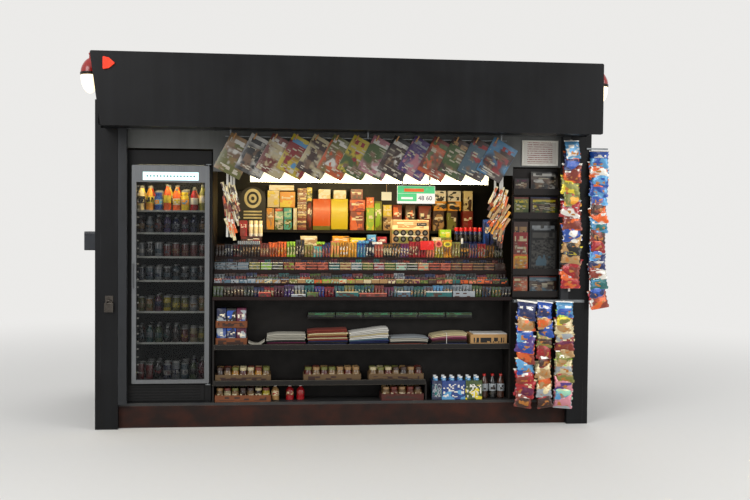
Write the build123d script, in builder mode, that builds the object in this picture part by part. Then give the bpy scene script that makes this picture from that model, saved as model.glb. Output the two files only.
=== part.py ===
from build123d import *
import os

# Street kiosk. Millimetres, origin on the ground under the middle of the cabin, +Z up, front at -Y.

os.makedirs("parts", exist_ok=True)

# Cabin
cabin_width = 3660
cabin_depth = 1830
wall_thickness = 40
wall_top_front = 2380
roof_drop = 35
seat_gap = 0.3

half_width = cabin_width / 2
front_y = -cabin_depth / 2
back_y = cabin_depth / 2
inner_half_width = half_width - wall_thickness
inner_back_y = back_y - wall_thickness
wall_top_back = wall_top_front - roof_drop

# Corner posts, shutter guides and shutter
post_width = 122
post_depth = 50
post_edge_radius = 5
guide_width = 60
guide_depth = 46
guide_wall = 5
guide_web = 26
shutter_slot_width = 44
tail_thickness = 7
tail_foot = 24
tail_foot_height = 40
tail_end_gap = 5
roll_radius = 118
roll_shaft_radius = 24
roll_end_gap = 110
roll_head_room = 70

post_inner_x = inner_half_width - post_width
shutter_y = front_y + guide_depth / 2
roll_y = shutter_y + roll_radius - tail_thickness / 2

# Plinth and floor
plinth_height = 160
plinth_rail = 50
floor_thickness = 20
plinth_front_y = front_y + post_depth
floor_top = plinth_height + floor_thickness

# Fascia box
fascia_projection = 300
fascia_bottom = 2170
fascia_height = 510
box_depth = 700
box_side_inset = 70
sheet = 4
sheet_bend_radius = 14
board_overhang = 55
board_sheet = 6
board_lip = 26
board_left_cut = 70
board_corner_radius = 12

fascia_top = fascia_bottom + fascia_height
fascia_y = front_y - fascia_projection
box_back_y = fascia_y + box_depth
box_half_width = half_width - box_side_inset
board_half_width = box_half_width + board_overhang
casing_front_y = fascia_y + board_sheet + seat_gap
casing_top = fascia_top - board_sheet - seat_gap
soffit_z = fascia_bottom + board_sheet + seat_gap
post_top = soffit_z
roll_z = casing_top - roll_head_room - roll_radius
slot_half_length = post_inner_x - guide_web

# Roof
roof_thickness = 26
roof_overhang = 22
roof_lip = 44

# Fridge cabinet
fridge_width = 650
fridge_post_gap = 18
fridge_set_back = 96
fridge_depth = 669
fridge_height = 1850
fridge_edge_radius = 10
well_side_left = 84
well_side_right = 40
well_floor = 155
well_roof = 105
well_back = 45

fridge_left_x = fridge_post_gap - post_inner_x
fridge_right_x = fridge_left_x + fridge_width
fridge_front_y = front_y + fridge_set_back
fridge_back_y = fridge_front_y + fridge_depth
fridge_base_z = floor_top + seat_gap
fridge_top = fridge_base_z + fridge_height
well_left_x = fridge_left_x + well_side_left
well_right_x = fridge_right_x - well_side_right
well_bottom = fridge_base_z + well_floor
well_top = fridge_top - well_roof
well_back_y = fridge_back_y - well_back

# Fridge door
door_inset_left = 70
door_inset_right = 20
door_thickness = 40
door_gap = 6
door_bottom_rise = 142
door_height = 1598
door_stile = 34
door_bottom_rail = 30
door_top_rail = 50
door_sign_height = 60
sign_side_inset = 46
door_mid_rail = 14
door_corner_radius = 10
door_front_chamfer = 2
glass_thickness = 8
handle_height = 185
handle_width = 16
handle_depth = 22
handle_rise = 790
hinge_inset = 8
hinge_pin_radius = 5
hinge_pin_clearance = 0.5
hinge_pin_hole = 16
hinge_pin_end_gap = 2
hinge_plate_thickness = 6
hinge_plate_gap = 6
hinge_plate_width = 34

door_left_x = fridge_left_x + door_inset_left
door_right_x = fridge_right_x - door_inset_right
door_back_y = fridge_front_y - door_gap
door_front_y = door_back_y - door_thickness
door_bottom = fridge_base_z + door_bottom_rise
door_top = door_bottom + door_height
sign_top = door_top - door_top_rail
sign_bottom = sign_top - door_sign_height
glass_bottom = door_bottom + door_bottom_rail
glass_top = sign_bottom - door_mid_rail
hinge_x = door_right_x - hinge_inset
hinge_y = door_front_y + hinge_inset

# Louvred kick plate under the fridge door
kick_margin = 12
kick_plate_gap = 14
kick_thickness = 14
kick_slats = 5
kick_slat_height = 10
kick_slat_inset = 24

# Fridge shelves and drinks: the heights of the shelves above the well's floor
shelf_rises = (275, 505, 735, 910, 1085, 1250)
fridge_shelf_sheet = 5
fridge_shelf_lip = 9
fridge_shelf_set_back = 22
bottle_count = 8
bottle_sides = 8
bottle_radius = 28
bottle_neck_radius = 12
bottle_tallest = 215
bottle_head_room = 18
bottle_set_back = 34
bottle_body_share = 0.62
bottle_shoulder_taper = 40
bottle_rear_gap = 12
bottle_side_gap = 5

# Serving bay
bay_fridge_gap = 3
bay_width = 2240
display_set_back = 50
display_end_thickness = 12
counter_panel_set_back = 275
counter_panel_thickness = 12
tier_bottom = 950
tier_rise = 95
tier_run = 90
tier_count = 4
tier_sheet = 10
tier_lip = 14
tier_edge_height = 12
tier_edge_thickness = 4
counter_thickness = 25
counter_depth = 365
shelf_board = 16
shelf_rim = 22
paper_shelf_top = 585
lower_shelf_top = 318
lower_shelf_length = 1575
ledge_top = 790
ledge_depth = 70
ledge_board = 8
ledge_start = 690
ledge_length = 1270

bay_left_x = fridge_right_x + bay_fridge_gap
bay_right_x = bay_left_x + bay_width
display_front_y = front_y + display_set_back
counter_panel_y = front_y + counter_panel_set_back
shelf_left_x = bay_left_x + display_end_thickness
shelf_right_x = bay_right_x - display_end_thickness
tier_back_y = display_front_y + tier_count * tier_run
counter_top = tier_bottom + tier_count * tier_rise
counter_back_y = tier_back_y - tier_sheet + counter_depth

# Candy packs on the steps
pack_count = 25
pack_gap = 6
pack_depth = 62
pack_height = 78
pack_clear = 6

# Header panel and what hangs on it
header_bottom = 1880
header_set_back = 65
header_thickness = 12
header_over_fridge = 12
header_over_rack = 1945
notice_width = 280
notice_height = 190
notice_right_margin = 200
notice_bottom_rise = 12
notice_frame_width = 14
notice_frame_depth = 8
notice_sheet_depth = 3
batten_left_inset = 270
batten_right_inset = 190
batten_depth = 48
batten_height = 40
holder_length = 20
holder_drop = 34
tube_radius = 13
tube_drop = 18
card_centre_x = 502
card_width = 285
card_height = 132
card_top = 1812
card_thickness = 6
strap_width = 12
strap_thickness = 6
strap_overlap = 70
strap_spread = 205

header_y = front_y + header_set_back

# Rack in the right bay
rack_side_gap = 4
rack_guide_gap = 10
rack_set_back = 88
rack_sheet = 12
rack_top = 1935
pocket_levels = (960, 1130, 1555, 1735)
pocket_depth = 46
pocket_height = 48
pocket_sheet = 4
rack_column_split = 0.36
rack_magazine_gap = 7
rack_magazine_heights = (150, 405, 160, 178)
rack_magazine_thickness = 20

rack_left_x = bay_right_x + rack_side_gap
rack_right_x = post_inner_x - guide_width - rack_guide_gap
rack_front_y = front_y + rack_set_back

# Magazines hung in a line under the soffit
hung_width = 205
hung_height = 280
hung_thickness = 4
hung_count = 14
hung_pitch = 148
hung_centre_x = 130
hung_tilt = 28
hung_centre_drop = 190
hung_rod_radius = 4
hung_rod_drop = 46
hung_rod_projection = 45
hung_rod_end = 40
hanger_half = 5

# Snack strips
bag_depth = 30
strip_sheet = 3
strip_half_width = 8
strip_projection = 24
inner_strip_x = 1665
inner_strip_bottom = 1010
inner_bag_width = 150
inner_bag_pitch = 94
outer_arm_length = 125
outer_arm_height = 12
outer_arm_top = 2092
outer_strip_bottom = 880
outer_strip_reach = 48
outer_bag_width = 150
outer_bag_pitch = 92
lower_rail_height = 20
lower_rail_top = 945
lower_rail_sheet = 6
lower_strip_bottom = 215
lower_strip_xs = (1330, 1478, 1630)
lower_bag_widths = (140, 118, 140)
lower_bag_pitch = 90
serving_strip_set_back = 140
serving_strip_bottom = 1400
serving_left_insets = (72, 152)
serving_right_insets = (150, 78)
serving_bag_width = 66
serving_bag_pitch = 52
serving_bag_depth = 22

# Papers, packs and cartons
stack_depth = 180
stack_margin = 10
paper_stacks = ((285, 62), (294, 90), (290, 126), (285, 46), (265, 75), (282, 107))
loose_paper_width = 120
loose_paper_height = 46
tray_width = 240
tray_depth = 150
tray_height = 68
tray_pack_height = 76
tray_layers = 2
carton_depth = 150
carton_height = 112
carton_starts = (8, 660, 1150)
carton_lengths = (410, 430, 415)
floor_pack_depth = 170
floor_cartons = ((8, 410, 105), (1245, 320, 105))
water_pack_length = 385
water_pack_height = 175
bottle_pair_starts = (450, 560, 640)
floor_bottle_radius = 32
floor_bottle_height = 116
tall_bottle_pitch = 64
tall_bottle_count = 3
tall_bottle_height = 185
ledge_pack_count = 6
ledge_pack_height = 38
ledge_pack_gap = 12

# Back shelf inside
back_shelf_top = 1440
back_shelf_board = 25
back_shelf_depth = 315
back_shelf_inset = 45
bracket_half = 12
bracket_drop = 125
bracket_set_back = 40
bracket_places = (0.05, 0.5, 0.95)
stock_depth = 180
stock_boxes_list = (
    (90, 230, 345),
    (340, 190, 300),
    (610, 120, 330),
    (800, 300, 240),
    (1180, 330, 90),
    (1560, 300, 110),
    (1950, 200, 180),
)

# Side lamps
lamp_side_gap = 86
lamp_board_gap = 195
lamp_glass_radius = 62
lamp_glass_height = 128
lamp_ring_radius = 66
lamp_ring_height = 20
lamp_cap_height = 100
lamp_stem_radius = 6
lamp_stem_length = 42
lamp_tip_radius = 9
lamp_tip_length = 18
lamp_cap_waist = 0.78
lamp_cap_waist_rise = 0.52
lamp_glass_waist = 0.76
lamp_glass_waist_rise = 0.35
lamp_drop = 144
lamp_arm_height = 26
lamp_arm_width = 22

lamp_x = box_half_width + lamp_side_gap
lamp_y = fascia_y + lamp_board_gap
lamp_z = fascia_top - lamp_drop

# Small fittings on the outside
marker_inset = 90
marker_drop = 40
marker_length = 82
marker_height = 88
marker_depth = 14
marker_taper = 0.1
marker_round = 6
wall_box_size = 140
wall_box_depth = 120
wall_box_set_back = 315
wall_box_z = 1360
wall_box_round = 14
hasp_z = 930
hasp_width = 56
hasp_height = 84
hasp_thickness = 6
lock_width = 62
lock_height = 66
lock_depth = 26
shackle_radius = 5
shackle_span = 36


def slab(x_from, x_to, y_from, y_to, z_from, z_to):
    # a straight block between three pairs of planes
    with Locations(((x_from + x_to) / 2, (y_from + y_to) / 2, (z_from + z_to) / 2)):
        Box(x_to - x_from, y_to - y_from, z_to - z_from)


def span(side, near, far):
    # the lower and upper x of a stretch given for the right side
    return (near, far) if side > 0 else (-far, -near)


def save(part, label):
    part.label = label
    export_step(part, f"parts/{label}.step")


# Plinth: a ring of rails between the walls, behind the corner posts
with BuildPart() as base_plinth:
    plinth_length = inner_back_y - plinth_front_y
    with BuildSketch():
        with Locations((0, (plinth_front_y + inner_back_y) / 2)):
            Rectangle(2 * inner_half_width, plinth_length)
            Rectangle(
                2 * (inner_half_width - plinth_rail),
                plinth_length - 2 * plinth_rail,
                mode=Mode.SUBTRACT,
            )
    extrude(amount=plinth_height)
save(base_plinth.part, "base_plinth")

with BuildPart() as floor_plate:
    slab(-inner_half_width, inner_half_width, plinth_front_y, inner_back_y, plinth_height, floor_top)
save(floor_plate.part, "floor_plate")


def side_wall(side):
    # one side wall, its top falling to the back
    wall_from = span(side, inner_half_width, half_width)[0]
    with BuildPart() as wall:
        with BuildSketch(Plane.YZ.offset(wall_from)):
            Polygon(
                (front_y, 0),
                (back_y, 0),
                (back_y, wall_top_back),
                (front_y, wall_top_front),
                align=None,
            )
        extrude(amount=wall_thickness)
    return wall.part


save(side_wall(-1), "left_wall")
save(side_wall(1), "right_wall")

with BuildPart() as back_wall:
    slab(-inner_half_width, inner_half_width, inner_back_y, back_y, 0, wall_top_back)
save(back_wall.part, "back_wall")

# Roof: a shallow pan with turned-down edges, butting against the fascia box
roof_front_y = box_back_y + seat_gap
roof_back_y = back_y + roof_overhang
roof_half_width = half_width + roof_overhang


def roof_under(y):
    # height of the roof's underside, on top of the side walls
    return wall_top_front - roof_drop * (y - front_y) / cabin_depth + seat_gap


def roof_profile(lip):
    # the pan's side outline, deeper by the lip
    Polygon(
        (roof_front_y, roof_under(roof_front_y) - lip),
        (roof_back_y, roof_under(roof_back_y) - lip),
        (roof_back_y, roof_under(roof_back_y) + roof_thickness),
        (roof_front_y, roof_under(roof_front_y) + roof_thickness),
        align=None,
    )


with BuildPart() as roof_panel:
    with BuildSketch(Plane.YZ.offset(-roof_half_width)):
        roof_profile(0)
    extrude(amount=2 * roof_half_width)
    for lip_side in (-1, 1):
        with BuildSketch(Plane.YZ.offset(span(lip_side, half_width + seat_gap, roof_half_width)[0])):
            roof_profile(roof_lip)
        extrude(amount=roof_overhang - seat_gap)
    slab(
        -roof_half_width,
        roof_half_width,
        back_y + seat_gap,
        roof_back_y,
        roof_under(roof_back_y) - roof_lip,
        roof_under(roof_back_y) + roof_thickness / 2,
    )
save(roof_panel.part, "roof_panel")

# Fascia front board: a sheet with lips folded back over the box, its left end cut on a slant
with BuildPart() as fascia_board:
    with BuildSketch(Plane.XZ.offset(-fascia_y)) as board_outline:
        with BuildLine():
            Polyline(
                (-board_half_width, fascia_top),
                (board_half_width, fascia_top),
                (board_half_width, fascia_bottom),
                (board_left_cut - board_half_width, fascia_bottom),
                close=True,
            )
        make_face()
        fillet(board_outline.vertices(), radius=board_corner_radius)
    extrude(amount=-board_lip)
    with BuildSketch(Plane.XZ.offset(-fascia_y - board_sheet)):
        with Locations((0, (fascia_bottom + fascia_top) / 2)):
            Rectangle(2 * board_half_width, fascia_height - 2 * board_sheet)
    extrude(amount=-board_lip, mode=Mode.SUBTRACT)
save(fascia_board.part, "fascia_board")

# Fascia casing: bent sheet over the top and down the back
with BuildPart() as fascia_casing:
    casing_half_length = box_half_width - sheet - seat_gap
    with BuildSketch(Plane.YZ.offset(-casing_half_length)):
        with BuildLine():
            casing_line = FilletPolyline(
                (casing_front_y, casing_top - board_lip),
                (casing_front_y, casing_top),
                (box_back_y, casing_top),
                (box_back_y, soffit_z + sheet + seat_gap),
                radius=sheet_bend_radius,
            )
            offset(casing_line, amount=sheet, side=Side.RIGHT)
        make_face()
    extrude(amount=2 * casing_half_length)
save(fascia_casing.part, "fascia_casing")

# Fascia ends: the two plates that close the box
with BuildPart() as fascia_ends:
    for end_side in (-1, 1):
        with BuildSketch(Plane.YZ.offset(span(end_side, box_half_width - sheet, box_half_width)[0])) as end_outline:
            Polygon(
                (casing_front_y, soffit_z + sheet + seat_gap),
                (box_back_y, soffit_z + sheet + seat_gap),
                (box_back_y, casing_top),
                (casing_front_y, casing_top),
                align=None,
            )
            fillet(end_outline.vertices().group_by(Axis.Y)[-1], radius=sheet_bend_radius)
        extrude(amount=sheet)
save(fascia_ends.part, "fascia_ends")

# Soffit: the plate under the fascia box, slotted for the shutter
with BuildPart() as soffit:
    with BuildSketch(Plane.XY.offset(soffit_z)):
        with Locations((0, (casing_front_y + box_back_y) / 2)):
            Rectangle(2 * box_half_width, box_back_y - casing_front_y)
        with Locations((0, shutter_y)):
            Rectangle(2 * slot_half_length, shutter_slot_width, mode=Mode.SUBTRACT)
    extrude(amount=sheet)
save(soffit.part, "soffit")

# Rolled shutter: the coil on its shaft, with its tail hanging into the slot to a foot rail
with BuildPart() as rolled_shutter:
    coil_half_length = box_half_width - roll_end_gap
    with BuildSketch(Plane.YZ.offset(-coil_half_length)):
        with Locations((roll_y, roll_z)):
            Circle(roll_radius)
    extrude(amount=2 * coil_half_length)
    with BuildSketch(Plane.YZ.offset(sheet - box_half_width)):
        with Locations((roll_y, roll_z)):
            Circle(roll_shaft_radius)
    extrude(amount=2 * (box_half_width - sheet))
    tail_half_length = slot_half_length - tail_end_gap
    slab(
        -tail_half_length,
        tail_half_length,
        shutter_y - tail_thickness / 2,
        shutter_y + tail_thickness / 2,
        soffit_z,
        roll_z,
    )
    slab(
        -tail_half_length,
        tail_half_length,
        shutter_y - tail_foot / 2,
        shutter_y + tail_foot / 2,
        soffit_z,
        soffit_z + tail_foot_height,
    )
save(rolled_shutter.part, "rolled_shutter")


def corner_post(side):
    # a panel that closes the front beside the side wall, its inner edge rounded
    post_from, post_to = span(side, post_inner_x, inner_half_width)
    with BuildPart() as post:
        slab(post_from, post_to, front_y, front_y + post_depth, 0, post_top)
        front_edges = post.edges().filter_by(Axis.Z).group_by(Axis.Y)[0].sort_by(Axis.X)
        fillet(front_edges[0] if side > 0 else front_edges[-1], radius=post_edge_radius)
    return post.part


save(corner_post(-1), "left_corner_post")
save(corner_post(1), "right_corner_post")

# Shutter guides: channels with their mouths towards the middle of the opening
with BuildPart() as shutter_guides:
    for guide_side in (-1, 1):
        guide_centre_x = guide_side * (post_inner_x - guide_width / 2)
        groove_centre_x = guide_side * (post_inner_x - (guide_width + guide_web) / 2)
        with BuildSketch(Plane.XY.offset(floor_top)):
            with Locations((guide_centre_x, shutter_y)):
                Rectangle(guide_width, guide_depth)
            with Locations((groove_centre_x, shutter_y)):
                Rectangle(guide_width - guide_web, guide_depth - 2 * guide_wall, mode=Mode.SUBTRACT)
        extrude(amount=post_top - floor_top)
save(shutter_guides.part, "shutter_guides")

# Header panel: stepped round the fridge and the rack, between the side walls
with BuildPart() as header_panel:
    with BuildSketch(Plane.XZ.offset(-header_y)):
        Polygon(
            (-inner_half_width, fridge_top + header_over_fridge),
            (bay_left_x, fridge_top + header_over_fridge),
            (bay_left_x, header_bottom),
            (bay_right_x, header_bottom),
            (bay_right_x, header_over_rack),
            (inner_half_width, header_over_rack),
            (inner_half_width, post_top),
            (-inner_half_width, post_top),
            align=None,
        )
    extrude(amount=-header_thickness)
save(header_panel.part, "header_panel")

# Fridge cabinet: a deep insulated well open to the front
with BuildPart() as fridge_cabinet:
    slab(fridge_left_x, fridge_right_x, fridge_front_y, fridge_back_y, fridge_base_z, fridge_top)
    fillet(fridge_cabinet.edges().filter_by(Axis.Z).group_by(Axis.Y)[0], radius=fridge_edge_radius)
    with BuildSketch(Plane.XZ.offset(-fridge_front_y)):
        with Locations(((well_left_x + well_right_x) / 2, (well_bottom + well_top) / 2)):
            Rectangle(well_right_x - well_left_x, well_top - well_bottom)
    extrude(amount=fridge_front_y - well_back_y, mode=Mode.SUBTRACT)
save(fridge_cabinet.part, "fridge_cabinet")

# Fridge shelves: trays with a turned-up front edge
shelf_levels = [well_bottom + rise for rise in shelf_rises]
tray_front_y = fridge_front_y + fridge_shelf_set_back
with BuildPart() as fridge_shelves:
    for level in shelf_levels:
        slab(well_left_x, well_right_x, tray_front_y, well_back_y, level - fridge_shelf_sheet, level)
        slab(
            well_left_x,
            well_right_x,
            tray_front_y,
            tray_front_y + fridge_shelf_sheet,
            level,
            level + fridge_shelf_lip,
        )
save(fridge_shelves.part, "fridge_shelves")

# Drinks: a front row of bottles on every level, and the rows behind as one block
drink_floors = [well_bottom] + shelf_levels
drink_ceilings = [level - fridge_shelf_sheet for level in shelf_levels] + [well_top]
drinks_left_x = well_left_x + bottle_side_gap
drinks_right_x = well_right_x - bottle_side_gap
bottle_pitch = (drinks_right_x - drinks_left_x) / bottle_count
bottle_row_y = tray_front_y + bottle_set_back + bottle_radius
bottle_row = [(drinks_left_x + (i + 0.5) * bottle_pitch, bottle_row_y) for i in range(bottle_count)]
with BuildPart() as fridge_drinks:
    for drink_floor, drink_ceiling in zip(drink_floors, drink_ceilings):
        bottle_base = drink_floor + seat_gap
        bottle_height = min(bottle_tallest, drink_ceiling - drink_floor - bottle_head_room)
        body_height = bottle_height * bottle_body_share
        shoulder_height = bottle_radius - bottle_neck_radius
        with BuildSketch(Plane.XY.offset(bottle_base)):
            with Locations(*bottle_row):
                RegularPolygon(bottle_radius, bottle_sides)
        extrude(amount=body_height)
        with BuildSketch(Plane.XY.offset(bottle_base + body_height)):
            with Locations(*bottle_row):
                RegularPolygon(bottle_radius, bottle_sides)
        extrude(amount=shoulder_height, taper=bottle_shoulder_taper)
        with BuildSketch(Plane.XY.offset(bottle_base + body_height)):
            with Locations(*bottle_row):
                RegularPolygon(bottle_neck_radius, bottle_sides)
        extrude(amount=bottle_height - body_height)
        slab(
            drinks_left_x,
            drinks_right_x,
            bottle_row_y + bottle_radius + bottle_rear_gap,
            well_back_y - bottle_rear_gap,
            bottle_base,
            bottle_base + body_height,
        )
save(fridge_drinks.part, "fridge_drinks")

# Fridge kick plate with louvres
with BuildPart() as fridge_kick:
    kick_left_x = fridge_left_x + kick_margin
    kick_right_x = fridge_right_x - hinge_plate_width - 2 * kick_margin
    kick_bottom = fridge_base_z + kick_margin
    kick_top = door_bottom - kick_plate_gap
    kick_front_y = fridge_front_y - kick_thickness
    slab(kick_left_x, kick_right_x, kick_front_y, fridge_front_y - seat_gap, kick_bottom, kick_top)
    with BuildSketch(Plane.XZ.offset(-kick_front_y)):
        with Locations(((kick_left_x + kick_right_x) / 2, (kick_bottom + kick_top) / 2)):
            with GridLocations(0, (kick_top - kick_bottom) / (kick_slats + 0.5), 1, kick_slats):
                SlotOverall(kick_right_x - kick_left_x - 2 * kick_slat_inset, kick_slat_height)
    extrude(amount=-kick_thickness / 2, mode=Mode.SUBTRACT)
save(fridge_kick.part, "fridge_kick")

# Fridge door: a framed leaf with two windows, a finger recess and pin holes
door_centre_x = (door_left_x + door_right_x) / 2
door_centre_y = (door_front_y + door_back_y) / 2
pane_left_x = door_left_x + door_stile
pane_right_x = door_right_x - door_stile
sign_left_x = pane_left_x + sign_side_inset
sign_right_x = pane_right_x - sign_side_inset
with BuildPart() as fridge_door:
    slab(door_left_x, door_right_x, door_front_y, door_back_y, door_bottom, door_top)
    fillet(fridge_door.edges().filter_by(Axis.Y), radius=door_corner_radius)
    with BuildSketch(Plane.XZ.offset(-door_front_y)):
        with Locations((door_centre_x, (glass_bottom + glass_top) / 2)):
            Rectangle(pane_right_x - pane_left_x, glass_top - glass_bottom)
        with Locations((door_centre_x, (sign_bottom + sign_top) / 2)):
            Rectangle(sign_right_x - sign_left_x, sign_top - sign_bottom)
    extrude(amount=-door_thickness, mode=Mode.SUBTRACT)
    with BuildSketch(Plane.XZ.offset(-door_front_y)):
        with Locations((door_left_x + door_stile / 2, door_bottom + handle_rise)):
            SlotOverall(handle_height, handle_width, rotation=90)
    extrude(amount=-handle_depth, mode=Mode.SUBTRACT)
    front_face = fridge_door.faces().filter_by(Axis.Y).sort_by(Axis.Y)[0]
    chamfer(front_face.outer_wire().edges(), length=door_front_chamfer)
    for pin_face_z, into_door in ((door_top, -1), (door_bottom, 1)):
        with Locations((hinge_x, hinge_y, pin_face_z + into_door * hinge_pin_hole / 2)):
            Cylinder(hinge_pin_radius + hinge_pin_clearance, hinge_pin_hole, mode=Mode.SUBTRACT)
save(fridge_door.part, "fridge_door")

with BuildPart() as fridge_door_glass:
    slab(
        pane_left_x,
        pane_right_x,
        door_centre_y - glass_thickness / 2,
        door_centre_y + glass_thickness / 2,
        glass_bottom,
        glass_top,
    )
save(fridge_door_glass.part, "fridge_door_glass")

with BuildPart() as fridge_sign_panel:
    slab(
        sign_left_x,
        sign_right_x,
        door_front_y + glass_thickness / 2,
        door_back_y - glass_thickness / 2,
        sign_bottom,
        sign_top,
    )
save(fridge_sign_panel.part, "fridge_sign_panel")

# Fridge hinges: a plate with a pin above and below the door
with BuildPart() as fridge_hinges:
    upper_plate_z = door_top + hinge_plate_gap
    lower_plate_z = door_bottom - hinge_plate_gap - hinge_plate_thickness
    pin_reach = hinge_plate_gap + hinge_pin_hole - hinge_pin_end_gap
    lower_pin_z = lower_plate_z + hinge_plate_thickness
    for plate_z, pin_from, pin_to in (
        (upper_plate_z, upper_plate_z - pin_reach, upper_plate_z),
        (lower_plate_z, lower_pin_z, lower_pin_z + pin_reach),
    ):
        slab(
            hinge_x - hinge_plate_width / 2,
            hinge_x + hinge_plate_width / 2,
            hinge_y - hinge_inset,
            fridge_front_y,
            plate_z,
            plate_z + hinge_plate_thickness,
        )
        with Locations((hinge_x, hinge_y, (pin_from + pin_to) / 2)):
            Cylinder(hinge_pin_radius, pin_to - pin_from)
save(fridge_hinges.part, "fridge_hinges")

# Display ends: upright panels under the candy rack and a short one at the end of the lower shelf
display_back_y = counter_panel_y
lower_shelf_end_x = shelf_left_x + lower_shelf_length
with BuildPart() as display_ends:
    for end_from in (bay_left_x, bay_right_x - display_end_thickness):
        slab(
            end_from,
            end_from + display_end_thickness,
            display_front_y + tier_sheet,
            display_back_y,
            floor_top,
            tier_bottom - tier_sheet,
        )
    slab(
        lower_shelf_end_x,
        lower_shelf_end_x + display_end_thickness,
        display_front_y + tier_sheet,
        display_back_y,
        floor_top,
        lower_shelf_top,
    )
save(display_ends.part, "display_ends")

# Candy rack: one folded sheet that climbs in steps from the front edge to the counter
stair_points = [(display_front_y, tier_bottom - tier_lip)]
for step in range(tier_count):
    tread_z = tier_bottom + step * tier_rise
    stair_points.append((display_front_y + step * tier_run, tread_z))
    stair_points.append((display_front_y + (step + 1) * tier_run, tread_z))
stair_points.append((tier_back_y, counter_top - counter_thickness - seat_gap))
with BuildPart() as candy_rack:
    with BuildSketch(Plane.YZ.offset(bay_left_x)):
        with BuildLine():
            stair = Polyline(*stair_points)
            offset(stair, amount=tier_sheet, side=Side.RIGHT)
        make_face()
    extrude(amount=bay_width)
    for step in range(tier_count):
        edge_y = display_front_y + step * tier_run
        tread_z = tier_bottom + step * tier_rise
        slab(
            bay_left_x,
            bay_right_x,
            edge_y,
            edge_y + tier_edge_thickness,
            tread_z,
            tread_z + tier_edge_height,
        )
save(candy_rack.part, "candy_rack")

# Candy packs: a row standing behind the edge of each step
with BuildPart() as candy_packs:
    pack_pitch = bay_width / pack_count
    for step in range(tier_count):
        pack_y = display_front_y + step * tier_run + tier_edge_thickness + pack_clear + pack_depth / 2
        pack_z = tier_bottom + step * tier_rise + seat_gap + pack_height / 2
        with Locations(*[(bay_left_x + (i + 0.5) * pack_pitch, pack_y, pack_z) for i in range(pack_count)]):
            Box(pack_pitch - pack_gap, pack_depth, pack_height)
save(candy_packs.part, "candy_packs")

# Serving counter: the board behind the top step, its front edge rounded
with BuildPart() as serving_counter:
    slab(
        bay_left_x,
        bay_right_x,
        tier_back_y - tier_sheet,
        counter_back_y,
        counter_top - counter_thickness,
        counter_top,
    )
    fillet(serving_counter.edges().filter_by(Axis.X).group_by(Axis.Y)[0], radius=counter_thickness / 3)
save(serving_counter.part, "serving_counter")

# Counter panel: the upright at the back of the paper shelves, with a narrow ledge
with BuildPart() as counter_panel:
    steps_above = int((counter_panel_set_back - display_set_back) / tier_run)
    panel_top = tier_bottom + steps_above * tier_rise - tier_sheet - seat_gap
    slab(
        bay_left_x,
        bay_right_x,
        counter_panel_y,
        counter_panel_y + counter_panel_thickness,
        floor_top,
        panel_top,
    )
    slab(
        shelf_left_x + ledge_start,
        shelf_left_x + ledge_start + ledge_length,
        counter_panel_y - ledge_depth,
        counter_panel_y,
        ledge_top - ledge_board,
        ledge_top,
    )
save(counter_panel.part, "counter_panel")

# Display shelves: the paper shelf and the shorter lower shelf, both with a raised front rim
with BuildPart() as display_shelves:
    for shelf_top, shelf_end_x in ((paper_shelf_top, shelf_right_x), (lower_shelf_top, lower_shelf_end_x)):
        slab(shelf_left_x, shelf_end_x, display_front_y, counter_panel_y, shelf_top - shelf_board, shelf_top)
        slab(
            shelf_left_x,
            shelf_end_x,
            display_front_y,
            display_front_y + shelf_board,
            shelf_top,
            shelf_top + shelf_rim,
        )
save(display_shelves.part, "display_shelves")

goods_front_y = display_front_y + shelf_board + stack_margin

# Newspapers: a loose fold beside the trays, then folded stacks spread along the rest of the paper shelf
loose_paper_x = shelf_left_x + tray_width + stack_margin
stacks_left_x = loose_paper_x + loose_paper_width + stack_margin
stack_pitch = (shelf_right_x - stacks_left_x) / len(paper_stacks)
first_stack_x = stacks_left_x + stack_pitch / 2
with BuildPart() as newspapers:
    for place, (stack_width, stack_height) in enumerate(paper_stacks):
        stack_z = paper_shelf_top + seat_gap + stack_height / 2
        with Locations((first_stack_x + place * stack_pitch, goods_front_y + stack_depth / 2, stack_z)):
            Box(stack_width, stack_depth, stack_height)
    slab(
        loose_paper_x,
        loose_paper_x + loose_paper_width,
        goods_front_y,
        goods_front_y + stack_depth,
        paper_shelf_top + seat_gap,
        paper_shelf_top + seat_gap + loose_paper_height,
    )
    long_edges = newspapers.edges().filter_by(Axis.X).group_by(Axis.Y)[0]
    fillet(long_edges, radius=min(height for width, height in paper_stacks) / 3)
save(newspapers.part, "newspapers")

# Packs in trays at the left of the paper shelf, and flat packs on the ledge
with BuildPart() as pack_stack:
    pack_left_x = shelf_left_x + stack_margin
    for layer in range(tray_layers):
        layer_z = paper_shelf_top + seat_gap + layer * (tray_height + tray_pack_height + 2 * seat_gap)
        slab(
            pack_left_x,
            pack_left_x + tray_width - stack_margin,
            goods_front_y,
            goods_front_y + tray_depth,
            layer_z,
            layer_z + tray_height,
        )
        slab(
            pack_left_x + stack_margin,
            pack_left_x + tray_width - 2 * stack_margin,
            goods_front_y + stack_margin,
            goods_front_y + tray_depth - stack_margin,
            layer_z + tray_height + seat_gap,
            layer_z + tray_height + seat_gap + tray_pack_height,
        )
    ledge_pitch = ledge_length / ledge_pack_count
    for place in range(ledge_pack_count):
        ledge_pack_x = shelf_left_x + ledge_start + place * ledge_pitch
        slab(
            ledge_pack_x + ledge_pack_gap,
            ledge_pack_x + ledge_pitch,
            counter_panel_y - ledge_depth + ledge_pack_gap,
            counter_panel_y - ledge_pack_gap,
            ledge_top + seat_gap,
            ledge_top + seat_gap + ledge_pack_height,
        )
save(pack_stack.part, "pack_stack")

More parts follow.
